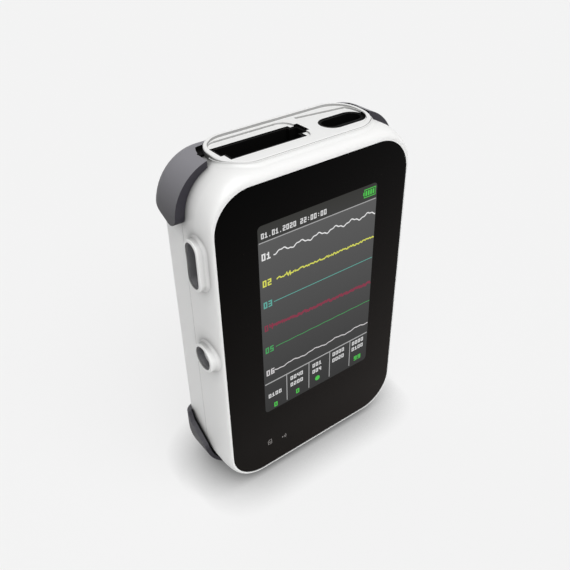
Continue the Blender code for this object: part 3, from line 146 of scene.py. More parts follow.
# Printed signs under the display, measured likewise. CARD_LABEL is the label's left, right,
# bottom and top, measured from the card's corner
SIGN_STROKE = 0.13 * MM
CARD_LEFT = 0.55 * MM
CARD_LOW = -17.0 * MM
CARD_WIDTH = 1.5 * MM
CARD_HEIGHT = 2.2 * MM
CARD_BEVEL = 0.55 * MM
CARD_LABEL = (0.45 * MM, 1.05 * MM, 0.55 * MM, 1.2 * MM)
ARCS_CENTRE = (7.2 * MM, -17.1 * MM)
ARCS_DOT = 0.3 * MM
ARCS_RADII = (0.9 * MM, 1.6 * MM)
ARCS_HALF_ANGLE = math.pi / 5

# Rim with its stepped recess
RIM_X = 0.6 * MM
RIM_LENGTH = 59.2 * MM
RIM_DEPTH = 21.8 * MM
RIM_CORNER = 10.0 * MM
RIM_TOP = 129.2 * MM
RIM_FRONT_DROP = 1.2 * MM
RIM_FOOT = 126.0 * MM
RIM_WIDTH = 1.3 * MM
RIM_EDGE_ROUND = 0.45 * MM
RIM_GAP = 0.12 * MM
RIM_FLARE = 1.5 * MM
RIM_FLARE_RISE = 1.0 * MM
RIM_FLARE_LIP = 0.3 * MM
RIM_FLARE_ROOT = 1.9 * MM
NECK_INSET = 0.9 * MM
NECK_BOTTOM = 123.9 * MM
LEDGE_LEVEL = 128.3 * MM
LEDGE_WIDTH = 1.6 * MM
LEDGE_LEFT = 0.8 * MM
FLOOR_LEVEL = 127.7 * MM
LEFT_FLOOR_END = 4.5 * MM
LEFT_FLOOR_CORNER = 4.5 * MM
RIGHT_FLOOR_START = 8.0 * MM
RIGHT_FLOOR_BACK = 8.1 * MM
RIGHT_FLOOR_TAPER = 4.6 * MM
RIGHT_FLOOR_INSET = MM / 5
RECESS_EDGE = 0.07 * MM

# Mouths of the two sockets in the recess
SENSOR_LEFT = -26.4 * MM
SENSOR_RIGHT = 3.0 * MM
SENSOR_FRONT = -5.4 * MM
SENSOR_BACK = 4.8 * MM
SENSOR_KEY_RIGHT = 5.8 * MM
SENSOR_KEY_FRONT = -2.9 * MM
SENSOR_KEY_BACK = 3.4 * MM
SENSOR_NOTCH_WIDTH = 1.4 * MM
SENSOR_NOTCH_DEPTH = 3.7 * MM
EFFORT_CENTRE = (20.0 * MM, -1.55 * MM)
EFFORT_SIZE = (17.2 * MM, 7.9 * MM)
EFFORT_SEAT_CENTRE = (20.0 * MM, -1.95 * MM)
EFFORT_SEAT_SIZE = (17.4 * MM, 9.2 * MM)
EFFORT_SEAT_DEPTH = 0.12 * MM

# Side fittings
COLLAR_TOP = -42.8 * MM
COLLAR_WALL = 1.0 * MM
COLLAR_FLARE = 1.0 * MM
COLLAR_ROUND = 0.45 * MM
COLLAR_ROOT = 1.4 * MM
BUTTON_Y = -8.1 * MM
BUTTON_Z = 99.6 * MM
BUTTON_WIDTH = 6.0 * MM
BUTTON_LENGTH = 16.0 * MM
BUTTON_FACE = -39.8 * MM
BUTTON_DOME = 0.35 * MM
BUTTON_GAP = 0.25 * MM
KEY_FLANGE_OUT = -37.9 * MM
KEY_FLANGE_IN = -36.9 * MM
KEY_FLANGE_GROW = 0.2 * MM
KEY_FLANGE_LAP = 0.1 * MM
KEY_POST_RADIUS = 1.6 * MM
KEY_POST_RISE = 0.3 * MM
INNER_SIDE = 38.3 * MM
GASKET_WALL = 0.6 * MM
GASKET_GAP = 0.05 * MM
GASKET_SINK = 0.5 * MM
BUTTON_GASKET_END = KEY_FLANGE_OUT - 0.5 * MM
CANNULA_Y = -8.4 * MM
CANNULA_Z = 64.0 * MM
CANNULA_RADIUS = 4.2 * MM
CANNULA_WELL = -39.3 * MM
CANNULA_HOLE = 3.0 * MM
CANNULA_GASKET_END = CANNULA_WELL - 0.1 * MM

# Cannula port: radii, places along X, and lengths from the flange's inner face
PORT_BORE = 2.1 * MM
PORT_LIP = 2.5 * MM
PORT_BARREL = 2.9 * MM
PORT_FLANGE = 4.2 * MM
PORT_TAIL = 1.3 * MM
PORT_BARB = 1.5 * MM
PORT_DUCT = 0.9 * MM
PORT_NOSE = -40.8 * MM
PORT_NOSE_BEVEL = 0.4 * MM
PORT_FLANGE_OUT = -37.1 * MM
PORT_FLANGE_IN = -35.8 * MM
PORT_BORE_STOP = 0.9 * MM
PORT_BARB_START = 1.6 * MM
PORT_TAIL_LENGTH = 3.2 * MM

# Rear screws
SCREW_X = 31.2 * MM
SCREW_INSET = 20.8 * MM
SCREW_BOSS = 3.4 * MM
SCREW_HEAD = 2.6 * MM
SCREW_SHANK = 1.5 * MM
SCREW_SEAT = 11.8 * MM

# Corner bumpers
BUMPER_FRONT = -2.5 * MM
BUMPER_REAR_DEPTH = 8.0 * MM
BUMPER_REAR_COVER = 1.3 * MM
BUMPER_LEG = 17.3 * MM
BUMPER_LEG_ROUND = 3.5 * MM
BUMPER_END_SLANT = math.radians(24)
BUMPER_INNER_X = 31.3 * MM
BUMPER_REAR_INNER_X = 23.5 * MM
BUMPER_FOOT_INNER_X = 19.0 * MM
BUMPER_FOOT_LEG = 23.2 * MM
BUMPER_SLANT_START = 12.2 * MM
BUMPER_SLANT_RISE = 10.4 * MM
BUMPER_SLANT_DEPTH = 11.0 * MM
BUMPER_SLANT_SHARES = ((0, 0), (0.12, 0.2), (0.35, 0.36), (0.53, 0.48), (0.72, 0.61), (0.89, 0.74),
                       (1, 1))
BUMPER_TIP = MM / 2
BUMPER_EDGE = 0.35 * MM
BUMPER_GAP = 0.12 * MM
BUMPER_SLOT_WIDTH = 2.2 * MM
BUMPER_SLOT_BACK = 7.0 * MM
BUMPER_SLOT_FRONT = 3.3 * MM
BUMPER_REBATE = 0.8 * MM
BUMPER_WEB = 0.3 * MM

# Reach past the case's side, reach past its end, and corner radius of the upper and lower ones
BUMPER_TOP = (3.4 * MM, 1.6 * MM, 17.0 * MM)
BUMPER_FOOT = (2.6 * MM, 2.2 * MM, 18.0 * MM)

# Reach of the painted shade in the hollow corners of the white case
CORNER_SHADE_REACH = 6 * MM

# Most real grain is too fine to show in the render, so it is drawn this many times coarser
COARSER = 10

# Colour sockets of the mix node, by their place in its lists
MIX_FROM = 6
MIX_TO = 7
MIX_RESULT = 2

# Studio
FLOOR_REACH = 6.0
PAPER_LEVEL = 0.913
SKY_LEVEL = 0.16
EVEN_SHARE = 0.8
SHADE_REACH = 16 * MM
SHADE_DEPTH = 1.3
SHADE_TILT = (0, -0.6, 0.8)
LAMP_TOWARDS = (-0.06, -0.48, 0.875)
LAMP_LEVEL = 2.75
LAMP_SPREAD = math.radians(60)

# How each flat outline is turned: its own x and y, and the way it is thickened
SEEN_FROM_FRONT = Matrix(((1, 0, 0), (0, 0, 1), (0, 1, 0))).to_4x4()
SEEN_FROM_TOP = Matrix.Identity(4)
SEEN_FROM_SIDE = Matrix(((0, 0, 1), (1, 0, 0), (0, 1, 0))).to_4x4()


# Finishes

def linear(hex_colour):
    """Linear RGBA of an sRGB hex colour."""
    values = [int(hex_colour[place:place + 2], 16) / 255 for place in (1, 3, 5)]
    return [v / 12.92 if v <= 0.04045 else ((v + 0.055) / 1.055) ** 2.4 for v in values] + [1.0]


def add_node(tree, kind, settings=None, links=None):
    """Adds a node. settings are its attributes or its inputs' values, and links feed its inputs."""
    node = tree.nodes.new(kind)
    for name, value in (settings or {}).items():
        if isinstance(name, str) and hasattr(node, name):
            setattr(node, name, value)
        else:
            node.inputs[name].default_value = value
    for name, source in (links or {}).items():
        tree.links.new(source, node.inputs[name])
    return node


def new_finish(name, colour, roughness, **sockets):
    """A material with one Principled shader, whose plain values sit on its own sockets."""
    made = bpy.data.materials.new(name)
    made.use_nodes = True
    made.diffuse_color = linear(colour)
    shader = made.node_tree.nodes["Principled BSDF"]
    shader.inputs["Base Color"].default_value = linear(colour)
    shader.inputs["Roughness"].default_value = roughness
    for socket, value in sockets.items():
        shader.inputs[socket.replace("_", " ")].default_value = value
    return made, made.node_tree, shader


def grain(tree, shader, size, rough_from, rough_to, height):
    """Noise of the given grain size: it varies the roughness and raises a fine bump."""
    place = add_node(tree, "ShaderNodeTexCoord")
    noise = add_node(tree, "ShaderNodeTexNoise",
                     {"Scale": 1 / size, "Detail": 3.0, "Roughness": 0.6},
                     {"Vector": place.outputs["Object"]})
    spread = add_node(tree, "ShaderNodeMapRange", {"To Min": rough_from, "To Max": rough_to},
                      {"Value": noise.outputs["Fac"]})
    bump = add_node(tree, "ShaderNodeBump", {"Strength": 0.3, "Distance": height},
                    {"Height": noise.outputs["Fac"]})
    tree.links.new(spread.outputs["Result"], shader.inputs["Roughness"])
    tree.links.new(bump.outputs["Normal"], shader.inputs["Normal"])
    return noise


def along(tree, axis, low, high):
    """Share from 0 to 1 as the object's own coordinate goes from low to high."""
    place = add_node(tree, "ShaderNodeTexCoord")
    split = add_node(tree, "ShaderNodeSeparateXYZ", None, {"Vector": place.outputs["Object"]})
    return add_node(tree, "ShaderNodeMapRange", {"From Min": low, "From Max": high},
                    {"Value": split.outputs[axis]})


def moulded_abs():
    """Injection-moulded ABS from a fine spark-eroded tool. The soft satin keeps highlights broad.
    Hollow corners are painted greyer from an occlusion node, as painted shade.
    """
    made, tree, shader = new_finish("moulded_white_abs", "#F0F0EF", 0.36, IOR=1.53)
    grain(tree, shader, COARSER * 0.05 * MM, 0.32, 0.42, 0.004 * MM)
    # Painted shade: the base colour darkens where the surface is hollowed in
    nearness = add_node(tree, "ShaderNodeAmbientOcclusion",
                        {"samples": 10, "Distance": CORNER_SHADE_REACH})
    unshaded_share = add_node(tree, "ShaderNodeMapRange", {"From Min": 0.5, "From Max": 0.97},
                     {"Value": nearness.outputs["AO"]})
    painted_corner_shade = add_node(tree, "ShaderNodeMix",
                    {"data_type": "RGBA", MIX_FROM: linear("#6C6C6B"), MIX_TO: linear("#F0F0EF")},
                    {"Factor": unshaded_share.outputs["Result"]})
    tree.links.new(painted_corner_shade.outputs[MIX_RESULT], shader.inputs["Base Color"])
    return made


def printed_acrylic():
    """Polished acrylic, printed black from behind. It is glossy. Its black is painted warmer and lighter
    low down and to the right, a painted reflection.
    """
    made, tree, shader = new_finish("black_printed_acrylic", "#050505", 0.05, Specular_IOR_Level=0.03)
    grain(tree, shader, 6 * MM, 0.03, 0.07, 0.0005 * MM)
    # Painted reflection: the print's black is made lighter and warmer low down and to the right
    upward = along(tree, "Z", LENS_LOW, LENS_HIGH)
    left, right = (add_node(tree, "ShaderNodeMix",
                            {"data_type": "RGBA", MIX_FROM: linear(low), MIX_TO: linear(high)},
                            {"Factor": upward.outputs["Result"]})
                   for low, high in (("#161311", "#000000"), ("#211D1B", "#050404")))
    across = along(tree, "X", -LENS_SIDE, LENS_SIDE)
    ink = add_node(tree, "ShaderNodeMix", {"data_type": "RGBA"},
                   {"Factor": across.outputs["Result"], MIX_FROM: left.outputs[MIX_RESULT],
                    MIX_TO: right.outputs[MIX_RESULT]})
    tree.links.new(ink.outputs[MIX_RESULT], shader.inputs["Base Color"])
    return made


def paint_light_by_facing(tree, shader, standing, lying):
    """Base colour that goes from the standing faces' colour to that of the faces that look up: painted
    light and shade by facing.
    """
    facing = add_node(tree, "ShaderNodeNewGeometry")
    split = add_node(tree, "ShaderNodeSeparateXYZ", None, {"Vector": facing.outputs["Normal"]})
    # Painted light and shade: the colour follows how far the face looks up
    upward = add_node(tree, "ShaderNodeMapRange", {"From Min": 0.0, "From Max": 0.9},
                      {"Value": split.outputs["Z"]})
    both = add_node(tree, "ShaderNodeMix",
                    {"data_type": "RGBA", MIX_FROM: linear(standing), MIX_TO: linear(lying)},
                    {"Factor": upward.outputs["Result"]})
    tree.links.new(both.outputs[MIX_RESULT], shader.inputs["Base Color"])


def soft_elastomer(name, colour, painted_top_colour):
    """Moulded elastomer with a rubbed skin and fine grain. Its upward faces are painted paler, a painted
    sheen of light from above.
    """
    made, tree, shader = new_finish(name, colour, 0.55, IOR=1.5, Specular_IOR_Level=0.35)
    grain(tree, shader, COARSER * 0.03 * MM, 0.5, 0.66, 0.006 * MM)
    paint_light_by_facing(tree, shader, colour, painted_top_colour)
    return made


def eroded_abs_painted_shade():
    """The same ABS in the stepped recess, with a coarse spark texture. Its standing walls are painted
    greyer, as painted shade.
    """
    made, tree, shader = new_finish("spark_eroded_abs_painted_shade", "#F0F0EF", 0.5, IOR=1.53)
    grain(tree, shader, COARSER * 0.04 * MM, 0.45, 0.6, 0.006 * MM)
    # Painted shade: standing walls of the recess take the greyer colour
    paint_light_by_facing(tree, shader, "#A6A6A5", "#F0F0EF")
    return made


def black_nylon():
    """Glass-filled nylon, moulded matt. It swallows nearly all light, so the sockets read as black."""
    made, tree, shader = new_finish("black_nylon", "#090909", 0.6, Specular_IOR_Level=0.05)
    grain(tree, shader, COARSER * 0.04 * MM, 0.55, 0.7, 0.005 * MM)
    return made


def display_glass():
    """Ground glass of the display cell, a faint dark grey where it would show."""
    made, tree, shader = new_finish("display_glass", "#3A3A3B", 0.12)
    grain(tree, shader, 3 * MM, 0.1, 0.16, 0.0005 * MM)
    return made


def grey_moulded():
    """Pale grey ABS of the key and the cannula port, moulded with a fine satin. It shades softly."""
    made, tree, shader = new_finish("grey_moulded_plastic", "#E2E2E2", 0.42)
    grain(tree, shader, COARSER * 0.04 * MM, 0.38, 0.5, 0.003 * MM)
    return made


def gilt_pin():
    """Gold-flashed brass, drawn wire. Bright, with slight marks of the die."""
    made, tree, shader = new_finish("gilt_pin", "#E2C27E", 0.25, Metallic=1.0)
    grain(tree, shader, COARSER * 0.03 * MM, 0.2, 0.32, 0.001 * MM)
    return made


def zinc_steel():
    """Zinc-plated steel with a clear passivated skin, so its shine varies in small patches."""
    made, tree, shader = new_finish("zinc_steel", "#C8C8C4", 0.3, Metallic=1.0)
    grain(tree, shader, 0.8 * MM, 0.24, 0.38, 0.002 * MM)
    return made


def board_mask():
    """Green solder mask over glass cloth. Its strands, 0.8 mm apart, give a faint uneven ripple."""
    made, tree, shader = new_finish("solder_mask", "#1F6B45", 0.35)
    grain(tree, shader, 0.8 * MM, 0.3, 0.42, 0.004 * MM)
    return made


def amber_film():
    """Cast polyimide film over etched copper tracks. It is amber, smooth and slightly wavy."""
    made, tree, shader = new_finish("amber_film", "#B07A2E", 0.3)
    grain(tree, shader, 2 * MM, 0.26, 0.38, 0.01 * MM)
    return made


def black_epoxy():
    """Transfer-moulded epoxy of the chips, with a sandy matt face."""
    made, tree, shader = new_finish("black_epoxy", "#1D1D1E", 0.6)
    grain(tree, shader, COARSER * 0.02 * MM, 0.55, 0.72, 0.006 * MM)
    return made


def pouch_foil():
    """Laminated aluminium pouch of the battery. Shallow creases break up its dull shine."""
    made, tree, shader = new_finish("pouch_foil", "#C4C6C8", 0.35, Metallic=0.8)
    grain(tree, shader, 5 * MM, 0.3, 0.45, 0.05 * MM)
    return made


def open_foam():
    """Die-cut foam pad. Its small open cells take away all shine."""
    made, tree, shader = new_finish("open_foam", "#5A5A5A", 0.95)
    grain(tree, shader, 0.3 * MM, 0.9, 1.0, 0.05 * MM)
    return made


def milky_silicone():
    """Extruded silicone tube. It is milky and dull, with slight waves from the die."""
    made, tree, shader = new_finish("milky_silicone", "#CDD0CC", 0.45)
    grain(tree, shader, 1 * MM, 0.4, 0.52, 0.003 * MM)
    return made


def lit_ink(name, colour):
    """Lit part of the display picture. The cell's fine pixels vary its light a little. They are
    0.15 mm wide, too fine to show, and drawn four times coarser.
    """
    made, tree, shader = new_finish(name, "#050505", 0.08, Specular_IOR_Level=0.03)
    noise = grain(tree, shader, 4 * 0.15 * MM, 0.06, 0.1, 0.0002 * MM)
    spread = add_node(tree, "ShaderNodeMapRange", {"To Min": 0.85, "To Max": 1.15},
                      {"Value": noise.outputs["Fac"]})
    shader.inputs["Emission Color"].default_value = linear(colour)
    tree.links.new(spread.outputs["Result"], shader.inputs["Emission Strength"])
    return made


def lit_field():
    """Dark grey field of the display under its header strip. The backlight falls off downwards."""
    made, tree, shader = new_finish("lit_display_field", "#050505", 0.08, Specular_IOR_Level=0.03)
    grain(tree, shader, 4 * 0.15 * MM, 0.06, 0.1, 0.0002 * MM)
    share = along(tree, "Z", PICTURE_LOW, PICTURE_LOW + PICTURE_HEIGHT)
    ramp = add_node(tree, "ShaderNodeValToRGB", None, {"Fac": share.outputs["Result"]})
    stops = ramp.color_ramp.elements
    header = HEADER_LINE / PICTURE_HEIGHT
    stops[0].color = linear("#343434")
    stops[1].color = linear("#373735")
    for at, colour in ((0.5, "#4A4A4A"), (header, "#595959"), (header + HEADER_EDGE_SHARE, "#3C3C3B")):
        stops.new(at).color = linear(colour)
    tree.links.new(ramp.outputs["Color"], shader.inputs["Emission Color"])
    shader.inputs["Emission Strength"].default_value = 1.0
    return made


def screen_printing():
    """Grey screen-printing ink on the lens, a thin matt film."""
    made, tree, shader = new_finish("grey_screen_printing", "#8C8886", 0.6, Specular_IOR_Level=0.2)
    grain(tree, shader, COARSER * 0.02 * MM, 0.55, 0.7, 0.001 * MM)
    return made


WHITE = moulded_abs()
BLACK = printed_acrylic()
STEPPED = eroded_abs_painted_shade()
# Guards' elastomer, painted paler on its upper faces as painted light
GREY = soft_elastomer("grey_elastomer", "#48474A", "#88878C")
# Darker elastomer on the guards' end faces, faces along the case and round the rim foot: painted shade
ELASTOMER_SHADE = soft_elastomer("dark_elastomer_painted_shade", "#312F36", "#4A494E")
# The liner's darker grey stands partly for the shade deep in the collars: painted shade
LINER = soft_elastomer("grey_elastomer_liner", "#69696B", "#7A7A7C")
# Black nylon of the sockets, also put on the guards' slots, rebates and cut ends as painted shade
NYLON_AND_PAINTED_SHADE = black_nylon()
GLASS = display_glass()
KEY = grey_moulded()
GILT = gilt_pin()
STEEL = zinc_steel()
MASK = board_mask()
AMBER = amber_film()
EPOXY = black_epoxy()
FOIL = pouch_foil()
FOAM = open_foam()
SILICONE = milky_silicone()

BY_SLOT = {
    "white_abs": WHITE, "black_lens": BLACK, "display_glass": GLASS, "black_tape": FOAM,
    "pressed_steel": STEEL, "amber_film": AMBER, "black_nylon": NYLON_AND_PAINTED_SHADE, "gilt_brass": GILT,
    "grey_key": KEY, "grey_elastomer": GREY, "black_silicone": NYLON_AND_PAINTED_SHADE, "milky_silicone": SILICONE,
    "green_board": MASK, "black_epoxy": EPOXY, "silver_pouch": FOIL, "grey_foam": FOAM,
    "zinc_steel": STEEL,
}
for entry in frame["record"]["subparts"]:
    plain_mesh = frame["nodes"][entry["node"]].data
    plain_mesh.materials.clear()
    plain_mesh.materials.append(BY_SLOT[entry["material_slot"]])


# Outlines and surfaces

def arc_points(centre, radius_u, radius_v, start, turn, steps=ARC_STEPS):
    """Points of an arc about centre, both ends included."""
    angles = (start + turn * step / steps for step in range(steps + 1))
    return [(centre[0] + radius_u * math.cos(a), centre[1] + radius_v * math.sin(a)) for a in angles]


def rounded_outline(left, right, low, high, radius, inset=(0, 0, 0)):
    """Rounded rectangle, whose sides, top and bottom can be drawn in about fixed corner centres."""
    side, above, below = inset
    corners = ((right - radius, high - radius, above), (left + radius, high - radius, above),
               (left + radius, low + radius, below), (right - radius, low + radius, below))
    outline = []
    for quarter, (centre_u, centre_v, drawn) in enumerate(corners):
        outline += arc_points((centre_u, centre_v), radius - side, radius - drawn,
                              quarter * math.pi / 2, math.pi / 2)
    return outline


def case_outline(side=0, above=None, below=None):
    """Outline of the case seen from the front, drawn in alike where only the sides are given."""
    above = side if above is None else above
    below = side if below is None else below
    return rounded_outline(-SIDE, SIDE, BOTTOM, TOP, CORNER, (side, above, below))


def round_ended_outline(centre, width, height, grow=0):
    """Outline with two half-round ends, long in the larger direction."""
    radius = min(width, height) / 2 + grow
    straight_u = max(width - height, 0) / 2
    straight_v = max(height - width, 0) / 2
    outline = []
    for quarter, (sign_u, sign_v) in enumerate(((1, 1), (-1, 1), (-1, -1), (1, -1))):
        middle = (centre[0] + sign_u * straight_u, centre[1] + sign_v * straight_v)
        outline += arc_points(middle, radius, radius, quarter * math.pi / 2, math.pi / 2)
    return drop_repeats(outline)


def drop_repeats(outline):
    """The outline without points that fall on the one before them."""
    kept = []
    for point in outline:
        if not kept or math.dist(point, kept[-1]) > SAME_POINT:
            kept.append(point)
    if math.dist(kept[0], kept[-1]) <= SAME_POINT:
        kept.pop()
    return kept


def quarter_shares():
    """Shares of a quarter-round edge: (along the depth, drawn in), from the face to the side."""
    angles = [math.pi / 2 * step / ROLL_STEPS for step in range(ROLL_STEPS + 1)]
    return [(1 - math.cos(a), 1 - math.sin(a)) for a in angles]


def roll_share(distance, depth):
    """Share of a quarter-round edge that is drawn in, at a distance from its face."""
    return 1 - math.sqrt(1 - max(1 - distance / depth, 0) ** 2)


def case_side(y):
    """Distance of the case's side from the middle plane, at depth y."""
    return SIDE - FRONT_INSET_SIDE * roll_share(y - FRONT, FRONT_ROLL_DEPTH)


def case_top(x, y):
    """Height of the case's top surface at a place on it."""
    front = roll_share(y - FRONT, FRONT_ROLL_DEPTH)
    rear = roll_share(REAR - y, REAR_ROUND)
    across = CORNER - FRONT_INSET_SIDE * front - REAR_ROUND * rear
    upward = CORNER - FRONT_INSET_TOP * front - REAR_ROUND * rear
    past = max(abs(x) - SIDE + CORNER, 0) / across
    return TOP - CORNER + upward * math.sqrt(1 - past ** 2)


def rim_outline(grow=0):
    """Outline of the rim seen from the top, grown by a distance."""
    half = RIM_LENGTH / 2 + grow
    return rounded_outline(RIM_X - half, RIM_X + half, -RIM_DEPTH / 2 - grow, RIM_DEPTH / 2 + grow,
                           RIM_CORNER + grow)


def lens_outline(grow=0):
    """Outline of the lens seen from the front, grown by a distance."""
    return rounded_outline(-LENS_SIDE - grow, LENS_SIDE + grow, LENS_LOW - grow, LENS_HIGH + grow,
                           LENS_CORNER + grow)


def button_outline(grow=0):
    """Outline of the button's opening seen from the side, grown by a distance."""
    return round_ended_outline((BUTTON_Y, BUTTON_Z), BUTTON_WIDTH, BUTTON_LENGTH, grow)


def cannula_outline(grow=0):
    """Outline of the port's opening seen from the side, grown by a distance."""
    return round_ended_outline((CANNULA_Y, CANNULA_Z), 2 * CANNULA_RADIUS, 2 * CANNULA_RADIUS, grow)


def sensor_outline():
    """Keyed mouth of the left socket, with its key at the right and a notch at the front left."""
    notch_x = SENSOR_LEFT + SENSOR_NOTCH_WIDTH
    notch_y = SENSOR_FRONT + SENSOR_NOTCH_DEPTH
    return [(notch_x, SENSOR_FRONT), (SENSOR_RIGHT, SENSOR_FRONT), (SENSOR_RIGHT, SENSOR_KEY_FRONT),
            (SENSOR_KEY_RIGHT, SENSOR_KEY_FRONT), (SENSOR_KEY_RIGHT, SENSOR_KEY_BACK),
            (SENSOR_RIGHT, SENSOR_KEY_BACK), (SENSOR_RIGHT, SENSOR_BACK), (SENSOR_LEFT, SENSOR_BACK),
            (SENSOR_LEFT, notch_y), (notch_x, notch_y)]


# Ways to make a piece

def new_object(name, shape, turn=SEEN_FROM_TOP):
    """Puts a shape into the scene, turned the way it is seen, with its faces looking outwards."""
    bmesh.ops.transform(shape, matrix=turn, verts=shape.verts)
    bmesh.ops.recalc_face_normals(shape, faces=shape.faces)
    mesh = bpy.data.meshes.new(name)
    shape.to_mesh(mesh)
    shape.free()
    made = bpy.data.objects.new(name, mesh)
    bpy.context.scene.collection.objects.link(made)
    return made


def skin(name, loops, turn):
    """Closed skin through loops of equal counts, with both end loops filled."""
    shape = bmesh.new()
    rings = [[shape.verts.new(point) for point in loop] for loop in loops]
    for lower, upper in zip(rings, rings[1:]):
        for index in range(len(lower)):
            after = (index + 1) % len(lower)
            shape.faces.new((lower[index], lower[after], upper[after], upper[index]))
    shape.faces.new(list(reversed(rings[0])))
    shape.faces.new(rings[-1])
    return new_object(name, shape, turn)


def loft(name, outlines, levels, turn):
    """Closed skin through outlines of equal counts, each at its own level."""
    loops = [[(u, v, level) for u, v in outline] for outline, level in zip(outlines, levels)]
    return skin(name, loops, turn)


def flat(name, outline, low, high, turn):
    """Plate of one outline between two levels."""
    return loft(name, [outline, outline], [low, high], turn)


def box(name, lows, highs):
    """Box between its lowest and highest corner."""
    outline = [(lows[0], lows[1]), (highs[0], lows[1]), (highs[0], highs[1]), (lows[0], highs[1])]
    return flat(name, outline, lows[2], highs[2], SEEN_FROM_TOP)


def bar(name, centre, radius, low, high, turn):
    """Round bar along the thickness direction."""
    return flat(name, round_ended_outline(centre, 2 * radius, 2 * radius), low, high, turn)


def turned(name, profile, centre):
    """Revolves a closed profile of (radius, x) about the X direction through centre (y, z)."""
    shape = bmesh.new()
    rings = []
    for step in range(TURN_STEPS):
        angle = 2 * math.pi * step / TURN_STEPS
        across, upward = math.cos(angle), math.sin(angle)
        rings.append([shape.verts.new((x, centre[0] + radius * across, centre[1] + radius * upward))
                      for radius, x in profile])
    for index, ring in enumerate(rings):
        after = rings[(index + 1) % len(rings)]
        for place in range(len(profile)):
            following = (place + 1) % len(profile)
            shape.faces.new((ring[place], ring[following], after[following], after[place]))
    return new_object(name, shape)


def combine(target, operand, operation):
    """Boolean step. Faces made by the operand keep the operand's material."""
    step = target.modifiers.new(operand.name, "BOOLEAN")
    step.operation = operation
    step.solver = "EXACT"
    step.material_mode = "TRANSFER"
    step.object = operand
    return target


def cut(target, *operands):
    """Takes each operand away from the target."""
    for operand in operands:
        combine(target, operand, "DIFFERENCE")


def with_finish(made, finish):
    """Gives a form its finish before a boolean step, so that the faces it makes have it too."""
    made.data.materials.clear()
    made.data.materials.append(finish)
    return made


def settle(made, finish, body="monitor", replaced=(), smooth=True, edge=0):
    """Applies the boolean steps and says which CAD nodes the piece stands for."""
    if not made.data.materials:
        made.data.materials.append(finish)
    if edge:
        step = made.modifiers.new("soft_edges", "BEVEL")
        step.width = edge
        step.segments = EDGE_STEPS
        step.limit_method = "ANGLE"
        step.angle_limit = EDGE_ANGLE
    operands = [step.object for step in made.modifiers if step.type == "BOOLEAN"]
    bpy.context.view_layer.update()
    evaluated = made.evaluated_get(bpy.context.evaluated_depsgraph_get())
    mesh = bpy.data.meshes.new_from_object(evaluated)
    made.modifiers.clear()
    made.data = mesh
    for operand in operands:
        remove_with_operands(operand)
    if smooth:
        mesh.shade_smooth()
        mesh.set_sharp_from_angle(angle=SHARP_ANGLE)
        shading = made.modifiers.new("even_shading", "WEIGHTED_NORMAL")
        shading.keep_sharp = True
    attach(made, body)
    if replaced:
        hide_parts(*replaced)
    return made


def remove_with_operands(made):
    """Deletes a used operand with its own operands."""
    for step in list(made.modifiers):
        if step.type == "BOOLEAN" and step.object:
            remove_with_operands(step.object)
    bpy.data.objects.remove(made, do_unlink=True)


# Housing and rim

def collar(name, outline_at):
    """Raised collar on the left side, with a flared foot that follows the case's surface."""
    loops = []
    for share, drawn in reversed(quarter_shares()):
        loops.append([(u, v, COLLAR_TOP + COLLAR_ROUND * drawn)
                      for u, v in outline_at(COLLAR_WALL - COLLAR_ROUND * share)])
    for rise, drawn in reversed(quarter_shares()):
        loops.append([(u, v, -case_side(u) - COLLAR_FLARE * rise + OVERLAP)
                      for u, v in outline_at(COLLAR_WALL + COLLAR_FLARE * drawn)])
    loops.append([(u, v, COLLAR_ROOT - SIDE) for u, v in outline_at(COLLAR_WALL + COLLAR_FLARE)])
    return skin(name, loops, SEEN_FROM_SIDE)


def rim_flare():
    """Flared foot around the front of the rim, following the case's surface."""
    inner = RIM_GAP + RIM_FLARE_LIP
    loops = [[(x, y, TOP - RIM_FLARE_ROOT) for x, y in rim_outline(inner + RIM_FLARE)]]
    for share, drawn in quarter_shares():
        loops.append([(x, y, case_top(x, y) + RIM_FLARE_RISE * share - OVERLAP)
                      for x, y in rim_outline(inner + RIM_FLARE * drawn)])
    loops.append([(x, y, case_top(x, y) + RIM_FLARE_RISE - OVERLAP) for x, y in rim_outline()])
    loops.append([(x, y, RIM_TOP) for x, y in rim_outline(-RIM_GAP)])
    flare = skin("rim_flare", loops, SEEN_FROM_TOP)
    front = box("rim_flare_front", (-SIDE, FRONT, RIM_FOOT - OVERRUN),
                (SIDE, -PART_GAP / 2 - OVERLAP, RIM_TOP + OVERRUN))
    return combine(flare, front, "INTERSECT")


def cut_rim_seat(shell):
    """Pocket for the rim's foot, and the opening for its neck."""
    above = RIM_TOP + OVERRUN
    cut(shell, flat("rim_pocket", rim_outline(RIM_GAP), RIM_FOOT - RIM_GAP, above, SEEN_FROM_TOP),
        flat("neck_opening", rim_outline(RIM_GAP - NECK_INSET), NECK_BOTTOM - OVERRUN, above + OVERRUN,
             SEEN_FROM_TOP))


